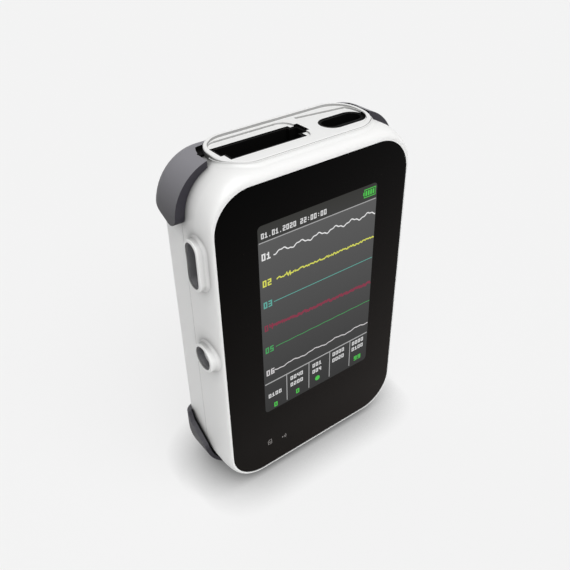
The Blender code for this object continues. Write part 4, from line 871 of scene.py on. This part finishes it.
def front_housing():
    """Front half of the case: rolled edge, lens recess, window, and the left side's openings."""
    outlines = [case_outline(FRONT_INSET_SIDE * drawn, FRONT_INSET_TOP * drawn,
                             FRONT_INSET_BOTTOM * drawn)
                for share, drawn in quarter_shares()] + [case_outline()]
    levels = [FRONT + FRONT_ROLL_DEPTH * share for share, drawn in quarter_shares()] + [-PART_GAP / 2]
    shell = loft("front_housing", outlines, levels, SEEN_FROM_FRONT)
    combine(shell, rim_flare(), "UNION")
    left, right, low, high = PANEL
    window = [(left, low), (right, low), (right, high), (left, high)]
    cut(shell, flat("lens_recess", lens_outline(LENS_GAP), FRONT - OVERRUN, LENS_SEAT, SEEN_FROM_FRONT),
        flat("window", window, FRONT, OVERRUN, SEEN_FROM_FRONT),
        flat("cavity", case_outline(WALL), WALL_BACK, OVERRUN, SEEN_FROM_FRONT))
    combine(shell, collar("button_collar", button_outline), "UNION")
    combine(shell, collar("cannula_collar", cannula_outline), "UNION")
    outside, inside = COLLAR_TOP - OVERRUN, OVERRUN - INNER_SIDE
    cut(shell, flat("button_mouth", button_outline(), outside, inside, SEEN_FROM_SIDE),
        flat("cannula_well", cannula_outline(), outside, CANNULA_WELL, SEEN_FROM_SIDE),
        bar("cannula_hole", (CANNULA_Y, CANNULA_Z), CANNULA_HOLE, COLLAR_TOP, inside, SEEN_FROM_SIDE))
    cut_rim_seat(shell)
    return settle(shell, WHITE, replaced=["front_shell"])


def rear_stations(start, end, radius, base_inset):
    """Outlines and levels of a rear half with a round edge of the given radius."""
    stations = [(case_outline(base_inset), start)]
    for share, drawn in reversed(quarter_shares()):
        stations.append((case_outline(base_inset + radius * drawn), end - radius * share))
    return [outline for outline, level in stations], [level for outline, level in stations]


def screw_places():
    """Places of the four case screws, seen from the front."""
    return [(sign_x * SCREW_X, (TOP if sign_z > 0 else BOTTOM) - sign_z * SCREW_INSET)
            for sign_z in (1, -1) for sign_x in (-1, 1)]


def rear_housing():
    """Rear half of the case, with a boss and a recessed seat for each screw."""
    shell = loft("rear_housing", *rear_stations(PART_GAP / 2, REAR, REAR_ROUND, 0), SEEN_FROM_FRONT)
    room = rear_stations(-OVERRUN, REAR - WALL, REAR_CORE_ROUND, WALL)
    cut(shell, loft("rear_cavity", *room, SEEN_FROM_FRONT))
    for place in screw_places():
        combine(shell, bar("boss", place, SCREW_BOSS, PART_GAP, REAR - WALL / 2, SEEN_FROM_FRONT), "UNION")
        cut(shell, bar("head_recess", place, SCREW_HEAD, SCREW_SEAT, REAR + OVERRUN, SEEN_FROM_FRONT),
            bar("shank_hole", place, SCREW_SHANK, -OVERRUN, REAR + OVERRUN, SEEN_FROM_FRONT))
    cut_rim_seat(shell)
    return settle(shell, WHITE, replaced=["rear_shell"])


def rim_crest(y):
    """Height of the rim's top, which slopes down towards the front."""
    return RIM_TOP - RIM_FRONT_DROP * (RIM_DEPTH / 2 - RIM_EDGE_ROUND - y) / RIM_DEPTH


def floor_rooms(above):
    """Cutters of the rim's recess: a ledge all round, and a deeper floor about each socket."""
    half = RIM_DEPTH / 2 - RIM_WIDTH - LEDGE_WIDTH
    floor_left = RIM_X - RIM_LENGTH / 2 + RIM_WIDTH + LEDGE_LEFT
    left_outline = rounded_outline(floor_left, LEFT_FLOOR_END, -half, half, LEFT_FLOOR_CORNER)
    right_outline = rim_outline(-RIM_WIDTH - RIGHT_FLOOR_INSET)
    right_floor = flat("right_floor", right_outline, FLOOR_LEVEL, above, SEEN_FROM_TOP)
    reach = [(RIGHT_FLOOR_START, -RIM_DEPTH), (SIDE, -RIM_DEPTH),
             (SIDE, RIGHT_FLOOR_BACK - RIGHT_FLOOR_TAPER), (RIGHT_FLOOR_START, RIGHT_FLOOR_BACK)]
    floor_reach = flat("floor_reach", reach, NECK_BOTTOM, above + OVERRUN, SEEN_FROM_TOP)
    combine(right_floor, with_finish(floor_reach, STEPPED), "INTERSECT")
    return (flat("ledge_room", rim_outline(-RIM_WIDTH), LEDGE_LEVEL, above, SEEN_FROM_TOP),
            flat("left_floor", left_outline, FLOOR_LEVEL, above, SEEN_FROM_TOP), right_floor)


def port_rim():
    """Raised rim over the parting line, with its stepped recess and the mouths of both sockets."""
    neck = [[(x, y, level) for x, y in rim_outline(-NECK_INSET)] for level in (NECK_BOTTOM, RIM_FOOT)]
    wall = [[(x, y, RIM_FOOT) for x, y in rim_outline()]]
    for share, drawn in reversed(quarter_shares()):
        wall.append([(x, y, rim_crest(y) - RIM_EDGE_ROUND * share)
                     for x, y in rim_outline(-RIM_EDGE_ROUND * drawn)])
    rim = with_finish(skin("port_rim", neck + wall, SEEN_FROM_TOP), WHITE)
    above = RIM_TOP + OVERRUN
    for room in floor_rooms(above):
        cut(rim, with_finish(room, STEPPED))
    for name, outline, bottom in (
            ("effort_seat", round_ended_outline(EFFORT_SEAT_CENTRE, *EFFORT_SEAT_SIZE),
             FLOOR_LEVEL - EFFORT_SEAT_DEPTH),
            ("sensor_mouth", sensor_outline(), NECK_BOTTOM - OVERRUN),
            ("effort_mouth", round_ended_outline(EFFORT_CENTRE, *EFFORT_SIZE), NECK_BOTTOM - OVERRUN)):
        cut(rim, with_finish(flat(name, outline, bottom, above, SEEN_FROM_TOP), NYLON_AND_PAINTED_SHADE))
    return settle(rim, WHITE, replaced=["port_bezel"], edge=RECESS_EDGE)


# Key, port and their liners

def power_key():
    """Domed key with the flange that holds it behind the wall, and its post to the switch."""
    inset = GASKET_WALL + BUTTON_GAP
    outlines = [button_outline(-inset - 2 * BUTTON_DOME * drawn) for share, drawn in quarter_shares()]
    levels = [BUTTON_FACE + BUTTON_DOME * share for share, drawn in quarter_shares()]
    key = loft("power_key", outlines + [button_outline(-inset)], levels + [KEY_FLANGE_OUT], SEEN_FROM_SIDE)
    combine(key, flat("key_flange", button_outline(KEY_FLANGE_GROW), KEY_FLANGE_OUT - KEY_FLANGE_LAP,
                      KEY_FLANGE_IN, SEEN_FROM_SIDE), "UNION")
    combine(key, bar("key_post", (BUTTON_Y, BUTTON_Z), KEY_POST_RADIUS, KEY_FLANGE_OUT,
                     KEY_FLANGE_IN + KEY_POST_RISE, SEEN_FROM_SIDE), "UNION")
    settle(key, KEY, body="button", replaced=["power_button"])


def liner(name, outline_at, inner_end):
    """Grey sleeve that lines a collar, from just inside its mouth."""
    ring = flat(name, outline_at(-GASKET_GAP), COLLAR_TOP + GASKET_SINK, inner_end, SEEN_FROM_SIDE)
    room = flat(name + "_room", outline_at(-GASKET_WALL), COLLAR_TOP, inner_end + OVERRUN, SEEN_FROM_SIDE)
    cut(ring, room)
    settle(ring, LINER, replaced=[name.replace("_liner", "_gasket")])


def cannula_fitting():
    """Turned port: a barrel in the collar, a flange behind the wall and a barbed tail inside."""
    stop = PORT_FLANGE_IN - PORT_BORE_STOP
    barb = PORT_FLANGE_IN + PORT_BARB_START
    tail = PORT_FLANGE_IN + PORT_TAIL_LENGTH
    profile = [(PORT_BORE, PORT_NOSE), (PORT_LIP, PORT_NOSE), (PORT_BARREL, PORT_NOSE + PORT_NOSE_BEVEL),
               (PORT_BARREL, PORT_FLANGE_OUT), (PORT_FLANGE, PORT_FLANGE_OUT),
               (PORT_FLANGE, PORT_FLANGE_IN), (PORT_TAIL, PORT_FLANGE_IN), (PORT_TAIL, barb),
               (PORT_BARB, barb), (PORT_TAIL, tail), (PORT_DUCT, tail), (PORT_DUCT, stop),
               (PORT_BORE, stop)]
    port = turned("cannula_fitting", profile, (CANNULA_Y, CANNULA_Z))
    settle(port, KEY, replaced=["cannula_port"])


# Corner guards

def bumper_blank(name, end):
    """Outer form of the bumpers of one end: the case outline, larger and rounder behind."""
    side, past, corner = BUMPER_TOP if end > 0 else BUMPER_FOOT
    sizes = (-SIDE - side, SIDE + side, BOTTOM - past, TOP + past, corner)
    outlines = [rounded_outline(*sizes)]
    levels = [BUMPER_FRONT - OVERRUN]
    for share, drawn in reversed(quarter_shares()):
        drawn_side = (side + REAR_ROUND - BUMPER_REAR_COVER) * drawn
        drawn_end = (past + REAR_ROUND - BUMPER_REAR_COVER) * drawn
        outlines.append(rounded_outline(*sizes, (drawn_side, drawn_end, drawn_end)))
        levels.append(REAR - BUMPER_REAR_DEPTH * share)
    return loft(name, outlines, levels, SEEN_FROM_FRONT)


def bumper_reach_outline(end):
    """Side view of what a bumper covers. Each leg ends on a slant, shorter towards the rear."""
    back = REAR + OVERRUN
    slope = math.tan(BUMPER_END_SLANT)
    if end > 0:
        centre = (BUMPER_FRONT + BUMPER_LEG_ROUND, TOP - BUMPER_LEG + BUMPER_LEG_ROUND)
        turn = arc_points(centre, BUMPER_LEG_ROUND, BUMPER_LEG_ROUND, math.pi,
                          math.pi / 2 + BUMPER_END_SLANT)
        high = TOP + CORNER + OVERRUN
        rear_end = turn[-1][1] + slope * (back - turn[-1][0])
        return turn + [(back, rear_end), (back, high), (BUMPER_FRONT, high)]
    low, leg_end = BOTTOM - CORNER - OVERRUN, BOTTOM + BUMPER_FOOT_LEG
    slant = [(BUMPER_FRONT + BUMPER_SLANT_DEPTH * back_share,
              BOTTOM + BUMPER_SLANT_START + BUMPER_SLANT_RISE * up_share)
             for back_share, up_share in BUMPER_SLANT_SHARES]
    tip = slant[-1][0] + BUMPER_TIP
    rear_end = leg_end - slope * (back - tip)
    return [(BUMPER_FRONT, low), (back, low), (back, rear_end), (tip, leg_end)] + slant[::-1]


def cut_rebate(made, name, outline, low, high):
    """Step that a lower guard's front edges keep along the case. Its faces are black, a painted shade in
    the gap.
    """
    outlines, levels = rear_stations(BUMPER_FRONT - 2 * OVERRUN, REAR, REAR_ROUND, -BUMPER_REBATE)
    rebate = with_finish(loft(name + "_rebate", outlines, levels, SEEN_FROM_FRONT), NYLON_AND_PAINTED_SHADE)
    behind = [(y + BUMPER_REBATE, z) for y, z in outline]
    solid = flat(name + "_behind", behind, low - OVERRUN, high + OVERRUN, SEEN_FROM_SIDE)
    cut(rebate, with_finish(solid, NYLON_AND_PAINTED_SHADE))
    cut(made, rebate)


def cut_rim_room(made, name, side):
    """Room that an upper guard leaves round the rim: its foot, a slot, and the case's top. Their cut faces
    are dark, a painted shade.
    """
    low, high = TOP - BUMPER_LEG, RIM_TOP + OVERRUN
    cut(made, with_finish(flat(name + "_foot", rim_outline(RIM_GAP), low, high, SEEN_FROM_TOP), ELASTOMER_SHADE))
    slot = with_finish(flat(name + "_slot", rim_outline(BUMPER_SLOT_WIDTH), TOP + BUMPER_WEB, high,
                            SEEN_FROM_TOP), NYLON_AND_PAINTED_SHADE)
    inner, outer = sorted((0, side * (SIDE + OVERRUN)))
    slot_end = box(name + "_slot_end", (inner, BUMPER_SLOT_FRONT, low),
                   (outer, BUMPER_SLOT_BACK, high + OVERRUN))
    combine(slot, with_finish(slot_end, NYLON_AND_PAINTED_SHADE), "INTERSECT")
    cut(made, slot)
    inner, outer = sorted((0, side * BUMPER_INNER_X))
    lows = (inner, BUMPER_FRONT - 2 * OVERRUN, low)
    highs = (outer, BUMPER_SLOT_FRONT + OVERLAP, high)
    cut(made, with_finish(box(name + "_end", lows, highs), NYLON_AND_PAINTED_SHADE))


def bumper(name, side, end):
    """Corner guard on one side (-1 or 1) of one end (1 for the top, -1 for the bottom)."""
    made = with_finish(bumper_blank(name, end), GREY)
    outline = bumper_reach_outline(end)
    inner = BUMPER_REAR_INNER_X if end > 0 else BUMPER_FOOT_INNER_X
    low, high = sorted((side * inner, side * (SIDE + 2 * OVERRUN)))
    reach = flat(name + "_reach", outline, low, high, SEEN_FROM_SIDE)
    # The cut faces take the darker elastomer as painted shade
    combine(made, with_finish(reach, ELASTOMER_SHADE), "INTERSECT")
    outlines, levels = rear_stations(BUMPER_FRONT - 2 * OVERRUN, REAR, REAR_ROUND, -BUMPER_GAP)
    core = loft(name + "_core", outlines + [outlines[-1]], levels + [REAR + OVERRUN], SEEN_FROM_FRONT)
    cut(made, with_finish(core, ELASTOMER_SHADE))
    if end < 0:
        cut_rebate(made, name, outline, low, high)
    else:
        cut_rim_room(made, name, side)
    return settle(made, GREY, replaced=[name.replace("guard", "bumper")],
                  edge=BUMPER_EDGE)


# Front cover

def front_cover():
    """Black lens in its recess, with a softly rounded edge."""
    outlines = [lens_outline(-LENS_ROUND * drawn) for share, drawn in quarter_shares()] + [lens_outline()]
    levels = [LENS_FACE + LENS_ROUND * share for share, drawn in quarter_shares()] + [LENS_BACK]
    cover = loft("front_cover", outlines, levels, SEEN_FROM_FRONT)
    return settle(cover, BLACK, replaced=["front_lens"])


# Display picture

# Plain digits, one number for each row of dots, in which the left dot counts 4
LEFT_DOT = 4
DIGIT_ROWS = {
    "0": (7, 5, 5, 5, 7), "1": (2, 6, 2, 2, 7), "2": (7, 1, 7, 4, 7), "3": (7, 1, 7, 1, 7),
    "4": (5, 5, 7, 1, 1), "5": (7, 4, 7, 1, 7), "6": (7, 4, 7, 5, 7), "7": (7, 1, 1, 1, 1),
    "8": (7, 5, 7, 5, 7), "9": (7, 5, 7, 1, 7), ".": (0, 0, 0, 0, 2), ":": (0, 2, 0, 2, 0),
    " ": (0, 0, 0, 0, 0),
}


class Ink:
    """Thin raised marks of one finish on the display or the lens."""

    def __init__(self, name, finish):
        self.name = name
        self.finish = finish
        self.shape = bmesh.new()

    def corner(self, u, v, level):
        """Corner of a mark, at a place of the picture and a depth."""
        return self.shape.verts.new((PICTURE_LEFT + u, level, PICTURE_LOW + v))

    def area(self, outline):
        """Filled mark."""
        front = [self.corner(u, v, INK_FACE) for u, v in outline]
        back = [self.corner(u, v, INK_BACK) for u, v in outline]
        self.shape.faces.new(front)
        self.shape.faces.new(back[::-1])
        for index in range(len(outline)):
            after = (index + 1) % len(outline)
            self.shape.faces.new((front[index], front[after], back[after], back[index]))

    def bar(self, left, right, low, high):
        """Filled rectangle."""
        self.area([(left, low), (right, low), (right, high), (left, high)])

    def dot(self, centre, radius):
        """Filled circle."""
        self.area(arc_points(centre, radius, radius, 0, 2 * math.pi)[:-1])

    def line(self, points, half, closed=False):
        """Band of even width along points."""
        bands = []
        last = len(points) - 1
        for index, point in enumerate(points):
            before = points[index - 1] if index or closed else point
            after = points[(index + 1) % len(points)] if index < last or closed else point
            way = (Vector(after) - Vector(before)).normalized() * half
            sides = ((point[0] - way.y, point[1] + way.x), (point[0] + way.y, point[1] - way.x))
            bands.append([self.corner(*sides[0], INK_FACE), self.corner(*sides[1], INK_FACE),
                          self.corner(*sides[1], INK_BACK), self.corner(*sides[0], INK_BACK)])
        pairs = list(zip(bands, bands[1:])) + ([(bands[-1], bands[0])] if closed else [])
        for one, two in pairs:
            for index in range(4):
                after = (index + 1) % 4
                self.shape.faces.new((one[index], one[after], two[after], two[index]))
        if not closed:
            self.shape.faces.new(bands[0][::-1])
            self.shape.faces.new(bands[-1])

    def digits(self, text, left, low, height, width):
        """Plain digits. Each row of dots that touch is one bar."""
        dot_v = height / DOT_ROWS
        dot_u = width / (DOT_COLUMNS + 1)
        for place, digit in enumerate(text):
            for row, dots in enumerate(DIGIT_ROWS[digit]):
                top = low + height - row * dot_v
                for start, end in dot_runs(dots):
                    begin = left + place * width + start * dot_u
                    self.bar(begin, begin + (end - start) * dot_u, top - dot_v * DOT_SHARE, top)

    def keep(self):
        """Puts the marks into the scene as one piece."""
        settle(new_object(self.name, self.shape), self.finish, smooth=False)


def dot_runs(dots):
    """Starts and ends of the touching dots of one row."""
    runs = []
    for column in range(DOT_COLUMNS):
        if dots & (LEFT_DOT >> column):
            if runs and runs[-1][1] == column:
                runs[-1][1] = column + 1
            else:
                runs.append([column, column + 1])
    return runs


def tremble(step, seed):
    """Even, repeatable scatter between -1 and 1. Its odd factors leave no pattern to be seen."""
    value = math.sin(step * 12.9898 + seed * 78.233) * 43758.5453
    return 2 * (value - math.floor(value)) - 1


# Numbers in the cells under the traces: place of the lower left corner in mm, and text
WHITE_NUMBERS = (
    (1.6, 6.4, "0100"), (11.4, 9.6, "0040"), (11.4, 6.4, "0200"), (21.6, 9.9, "001"),
    (21.6, 6.9, "004"), (31.2, 10.3, "0000"), (31.2, 7.3, "0020"), (40.9, 10.5, "0000"),
    (40.9, 7.6, "0100"),
)
GREEN_NUMBERS = ((3.9, 0.9, "0"), (13.9, 1.6, "0"), (42.3, 2.2, "99"))

# Channels: name, colour, start, level and half width of the line in mm, and its rise at u mm
CHANNELS = (
    ("white", "#E4E4E4", 5.6, 66.0, 0.2,
     lambda u: 0.6 * math.sin(u / 1.15) + 0.2 * math.sin(u / 0.37)),
    ("yellow", "#D6D85C", 6.6, 56.1, 0.24,
     lambda u: 0.42 * tremble(u, 1) + 1.1 * tremble(u, 2) * math.exp(-((u - 11) / 1.2) ** 2)),
    ("teal", "#5FA89C", 5.2, 47.7, 0.13,
     lambda u: 0),
    ("red", "#84384A", 3.4, 38.2, 0.48,
     lambda u: 0.5 * tremble(u, 3) - 0.03 * (u - 4)),
    ("deep_green", "#489E5C", 5.4, 28.7, 0.12,
     lambda u: 0.06 * math.sin(u)),
    ("pale", "#CFCCCD", 4.6, 18.5, 0.2,
     lambda u: 0.35 * math.sin(u / 1.6) + 0.12 * math.sin(u / 0.5)),
)


def picture_field():
    """Dark field of the picture, with soft corners."""
    outline = rounded_outline(PICTURE_LEFT, PICTURE_LEFT + PICTURE_WIDTH, PICTURE_LOW,
                              PICTURE_LOW + PICTURE_HEIGHT, PICTURE_CORNER)
    field = flat("display_picture", outline, PICTURE_FACE, LENS_BACK, SEEN_FROM_FRONT)
    settle(field, lit_field())


def white_readout():
    """Date and time in the header, and the white numbers of the cells."""
    white = Ink("white_readout", lit_ink("lit_white", "#D8D8D8"))
    white.digits(HEADER_TEXT, *HEADER_PLACE, *HEADER_DIGIT)
    for u, v, text in WHITE_NUMBERS:
        white.digits(text, u * MM, v * MM, *CELL_DIGIT)
    white.keep()


def picture_lines():
    """Lines under the header and over the cells, and those between the cells."""
    lines = Ink("picture_lines", lit_ink("lit_pale_grey", "#A8A8A8"))
    left, right = LINE_MARGIN, PICTURE_WIDTH - LINE_MARGIN
    lines.bar(left, right, HEADER_LINE - HAIRLINE, HEADER_LINE + HAIRLINE)
    lines.bar(left, right, READOUT_LINE - 2 * HAIRLINE, READOUT_LINE + HAIRLINE)
    for u in DIVIDERS:
        lines.bar(u - HAIRLINE, u + HAIRLINE, DIVIDER_LOW, READOUT_LINE)
    lines.keep()


def traces():
    """Six channels, each with its number and its line."""
    fine = PICTURE_WIDTH / TRACE_STEPS
    for number, (name, colour, start, level, half, wave) in enumerate(CHANNELS, 1):
        trace = Ink(name + "_trace", lit_ink("lit_" + name, colour))
        steps = int((PICTURE_WIDTH - start * MM) / fine)
        places = [start * MM + step * fine for step in range(steps + 1)]
        trace.line([(u, (level + wave(u / MM)) * MM) for u in places], half * MM)
        trace.digits(f"0{number}", CHANNEL_NUMBER_LEFT, level * MM - CHANNEL_NUMBER_DROP, *CHANNEL_DIGIT)
        trace.keep()


def green_readout():
    """Green numbers and dot of the cells, and the battery sign in the header."""
    green = Ink("green_readout", lit_ink("lit_green", "#4FC04F"))
    for u, v, text in GREEN_NUMBERS:
        green.digits(text, u * MM, v * MM, *GREEN_DIGIT)
    green.dot(GREEN_DOT, GREEN_DOT_RADIUS)
    left, right, low, high = BATTERY_LEFT, BATTERY_RIGHT, BATTERY_LOW, BATTERY_HIGH
    green.line([(left, low), (right, low), (right, high), (left, high)], BATTERY_STROKE, closed=True)
    green.bar(left - BATTERY_CAP_REACH, left - BATTERY_CAP_LAP, low + BATTERY_CAP_MARGIN,
              high - BATTERY_CAP_MARGIN)
    for place in range(BATTERY_BARS):
        start = left + BATTERY_BAR_MARGIN + place * BATTERY_BAR_PITCH
        green.bar(start, start + BATTERY_BAR_WIDTH, low + BATTERY_BAR_MARGIN, high - BATTERY_BAR_MARGIN)
    green.keep()


def lens_marks():
    """Two plain printed signs under the display: a memory card, and radio arcs."""
    marks = Ink("printed_signs", screen_printing())
    right, high = CARD_LEFT + CARD_WIDTH, CARD_LOW + CARD_HEIGHT
    card = [(CARD_LEFT, CARD_LOW), (right, CARD_LOW), (right, high), (CARD_LEFT + CARD_BEVEL, high),
            (CARD_LEFT, high - CARD_BEVEL)]
    marks.line(card, SIGN_STROKE, closed=True)
    label_left, label_right, label_low, label_high = CARD_LABEL
    marks.bar(CARD_LEFT + label_left, CARD_LEFT + label_right, CARD_LOW + label_low,
              CARD_LOW + label_high)
    marks.dot(ARCS_CENTRE, ARCS_DOT)
    for radius in ARCS_RADII:
        marks.line(arc_points(ARCS_CENTRE, radius, radius, -ARCS_HALF_ANGLE, 2 * ARCS_HALF_ANGLE),
                   SIGN_STROKE)
    marks.keep()


# Studio and camera

def seen_rays(tree):
    """1 for what the eye sees straight, in a shine or through something clear, and 0 for light."""
    rays = add_node(tree, "ShaderNodeLightPath")
    shine = add_node(tree, "ShaderNodeMath", {"operation": "MAXIMUM"},
                     {0: rays.outputs["Is Camera Ray"], 1: rays.outputs["Is Glossy Ray"]})
    return add_node(tree, "ShaderNodeMath", {"operation": "MAXIMUM"},
                    {0: shine.outputs[0], 1: rays.outputs["Is Transmission Ray"]})


def seamless_paper():
    """Uncoated background paper, calendered matt. It has no shine. Seen straight it is an even glow,
    darkened near the object by an occlusion node as a painted shadow.
    """
    made, tree, shader = new_finish("seamless_paper", "#F4F4F4", 0.9, Specular_IOR_Level=0.0)
    # Painted shadow: the seen paper darkens near the object
    nearness = add_node(tree, "ShaderNodeAmbientOcclusion",
                        {"samples": 12, "Distance": SHADE_REACH, "Normal": SHADE_TILT})
    depth = add_node(tree, "ShaderNodeMath", {"operation": "POWER", 1: SHADE_DEPTH},
                     {0: nearness.outputs["AO"]})
    level = add_node(tree, "ShaderNodeMath", {"operation": "MULTIPLY", 1: PAPER_LEVEL},
                     {0: depth.outputs[0]})
    even = add_node(tree, "ShaderNodeEmission", None, {"Strength": level.outputs[0]})
    share = add_node(tree, "ShaderNodeMath", {"operation": "MULTIPLY", 1: EVEN_SHARE},
                     {0: seen_rays(tree).outputs[0]})
    mixed = add_node(tree, "ShaderNodeMixShader", None,
                     {"Fac": share.outputs[0], 1: shader.outputs[0], 2: even.outputs[0]})
    tree.links.new(mixed.outputs[0], tree.nodes["Material Output"].inputs["Surface"])
    return made


def build_floor():
    """Wide pale floor."""
    corners = [(sign_x * FLOOR_REACH, sign_y * FLOOR_REACH, 0)
               for sign_x, sign_y in ((-1, -1), (1, -1), (1, 1), (-1, 1))]
    floor_mesh = bpy.data.meshes.new("floor")
    floor_mesh.from_pydata(corners, [], [(0, 1, 2, 3)])
    floor = bpy.data.objects.new("floor", floor_mesh)
    bpy.context.scene.collection.objects.link(floor)
    floor_mesh.materials.append(seamless_paper())


def build_light():
    """Even world light, whose seen backdrop is paler, and one very soft lamp from the front."""
    world = bpy.data.worlds.new("studio")
    bpy.context.scene.world = world
    world.use_nodes = True
    tree = world.node_tree
    tree.nodes.clear()
    strength = add_node(tree, "ShaderNodeMapRange", {"To Min": SKY_LEVEL, "To Max": PAPER_LEVEL},
                        {"Value": seen_rays(tree).outputs[0]})
    light = add_node(tree, "ShaderNodeBackground", {"Color": linear("#FFFFFF")},
                     {"Strength": strength.outputs[0]})
    add_node(tree, "ShaderNodeOutputWorld", None, {"Surface": light.outputs[0]})

    lamp = bpy.data.lights.new("front_lamp", "SUN")
    lamp.energy = LAMP_LEVEL
    lamp.angle = LAMP_SPREAD
    placed = bpy.data.objects.new("front_lamp", lamp)
    placed.rotation_euler = Vector(LAMP_TOWARDS).to_track_quat("Z", "Y").to_euler()
    bpy.context.scene.collection.objects.link(placed)


def place_camera():
    """Camera at the place and angle worked out from the photograph."""
    data = bpy.data.cameras.new("camera")
    data.lens = CAMERA_LENS
    data.sensor_width = CAMERA_SENSOR
    data.clip_start = CAMERA_NEAR
    camera = bpy.data.objects.new("camera", data)
    right = Vector(CAMERA_RIGHT).normalized()
    up = Vector(CAMERA_UP).normalized()
    turn = Matrix((right, up, right.cross(up))).transposed().to_4x4()
    camera.matrix_world = Matrix.Translation(CAMERA_PLACE) @ turn
    bpy.context.scene.collection.objects.link(camera)
    bpy.context.scene.camera = camera


# The visible pieces
front_housing()
rear_housing()
port_rim()
power_key()
liner("button_liner", button_outline, BUTTON_GASKET_END)
liner("cannula_liner", cannula_outline, CANNULA_GASKET_END)
cannula_fitting()
for end, end_name in ((1, "top"), (-1, "bottom")):
    for side, side_name in ((-1, "left"), (1, "right")):
        bumper(f"guard_{end_name}_{side_name}", side, end)
front_cover()
picture_field()
white_readout()
picture_lines()
traces()
green_readout()
lens_marks()

# What they stand on, and how they are lit and seen
build_floor()
build_light()
place_camera()
bpy.context.scene.view_settings.view_transform = "Standard"
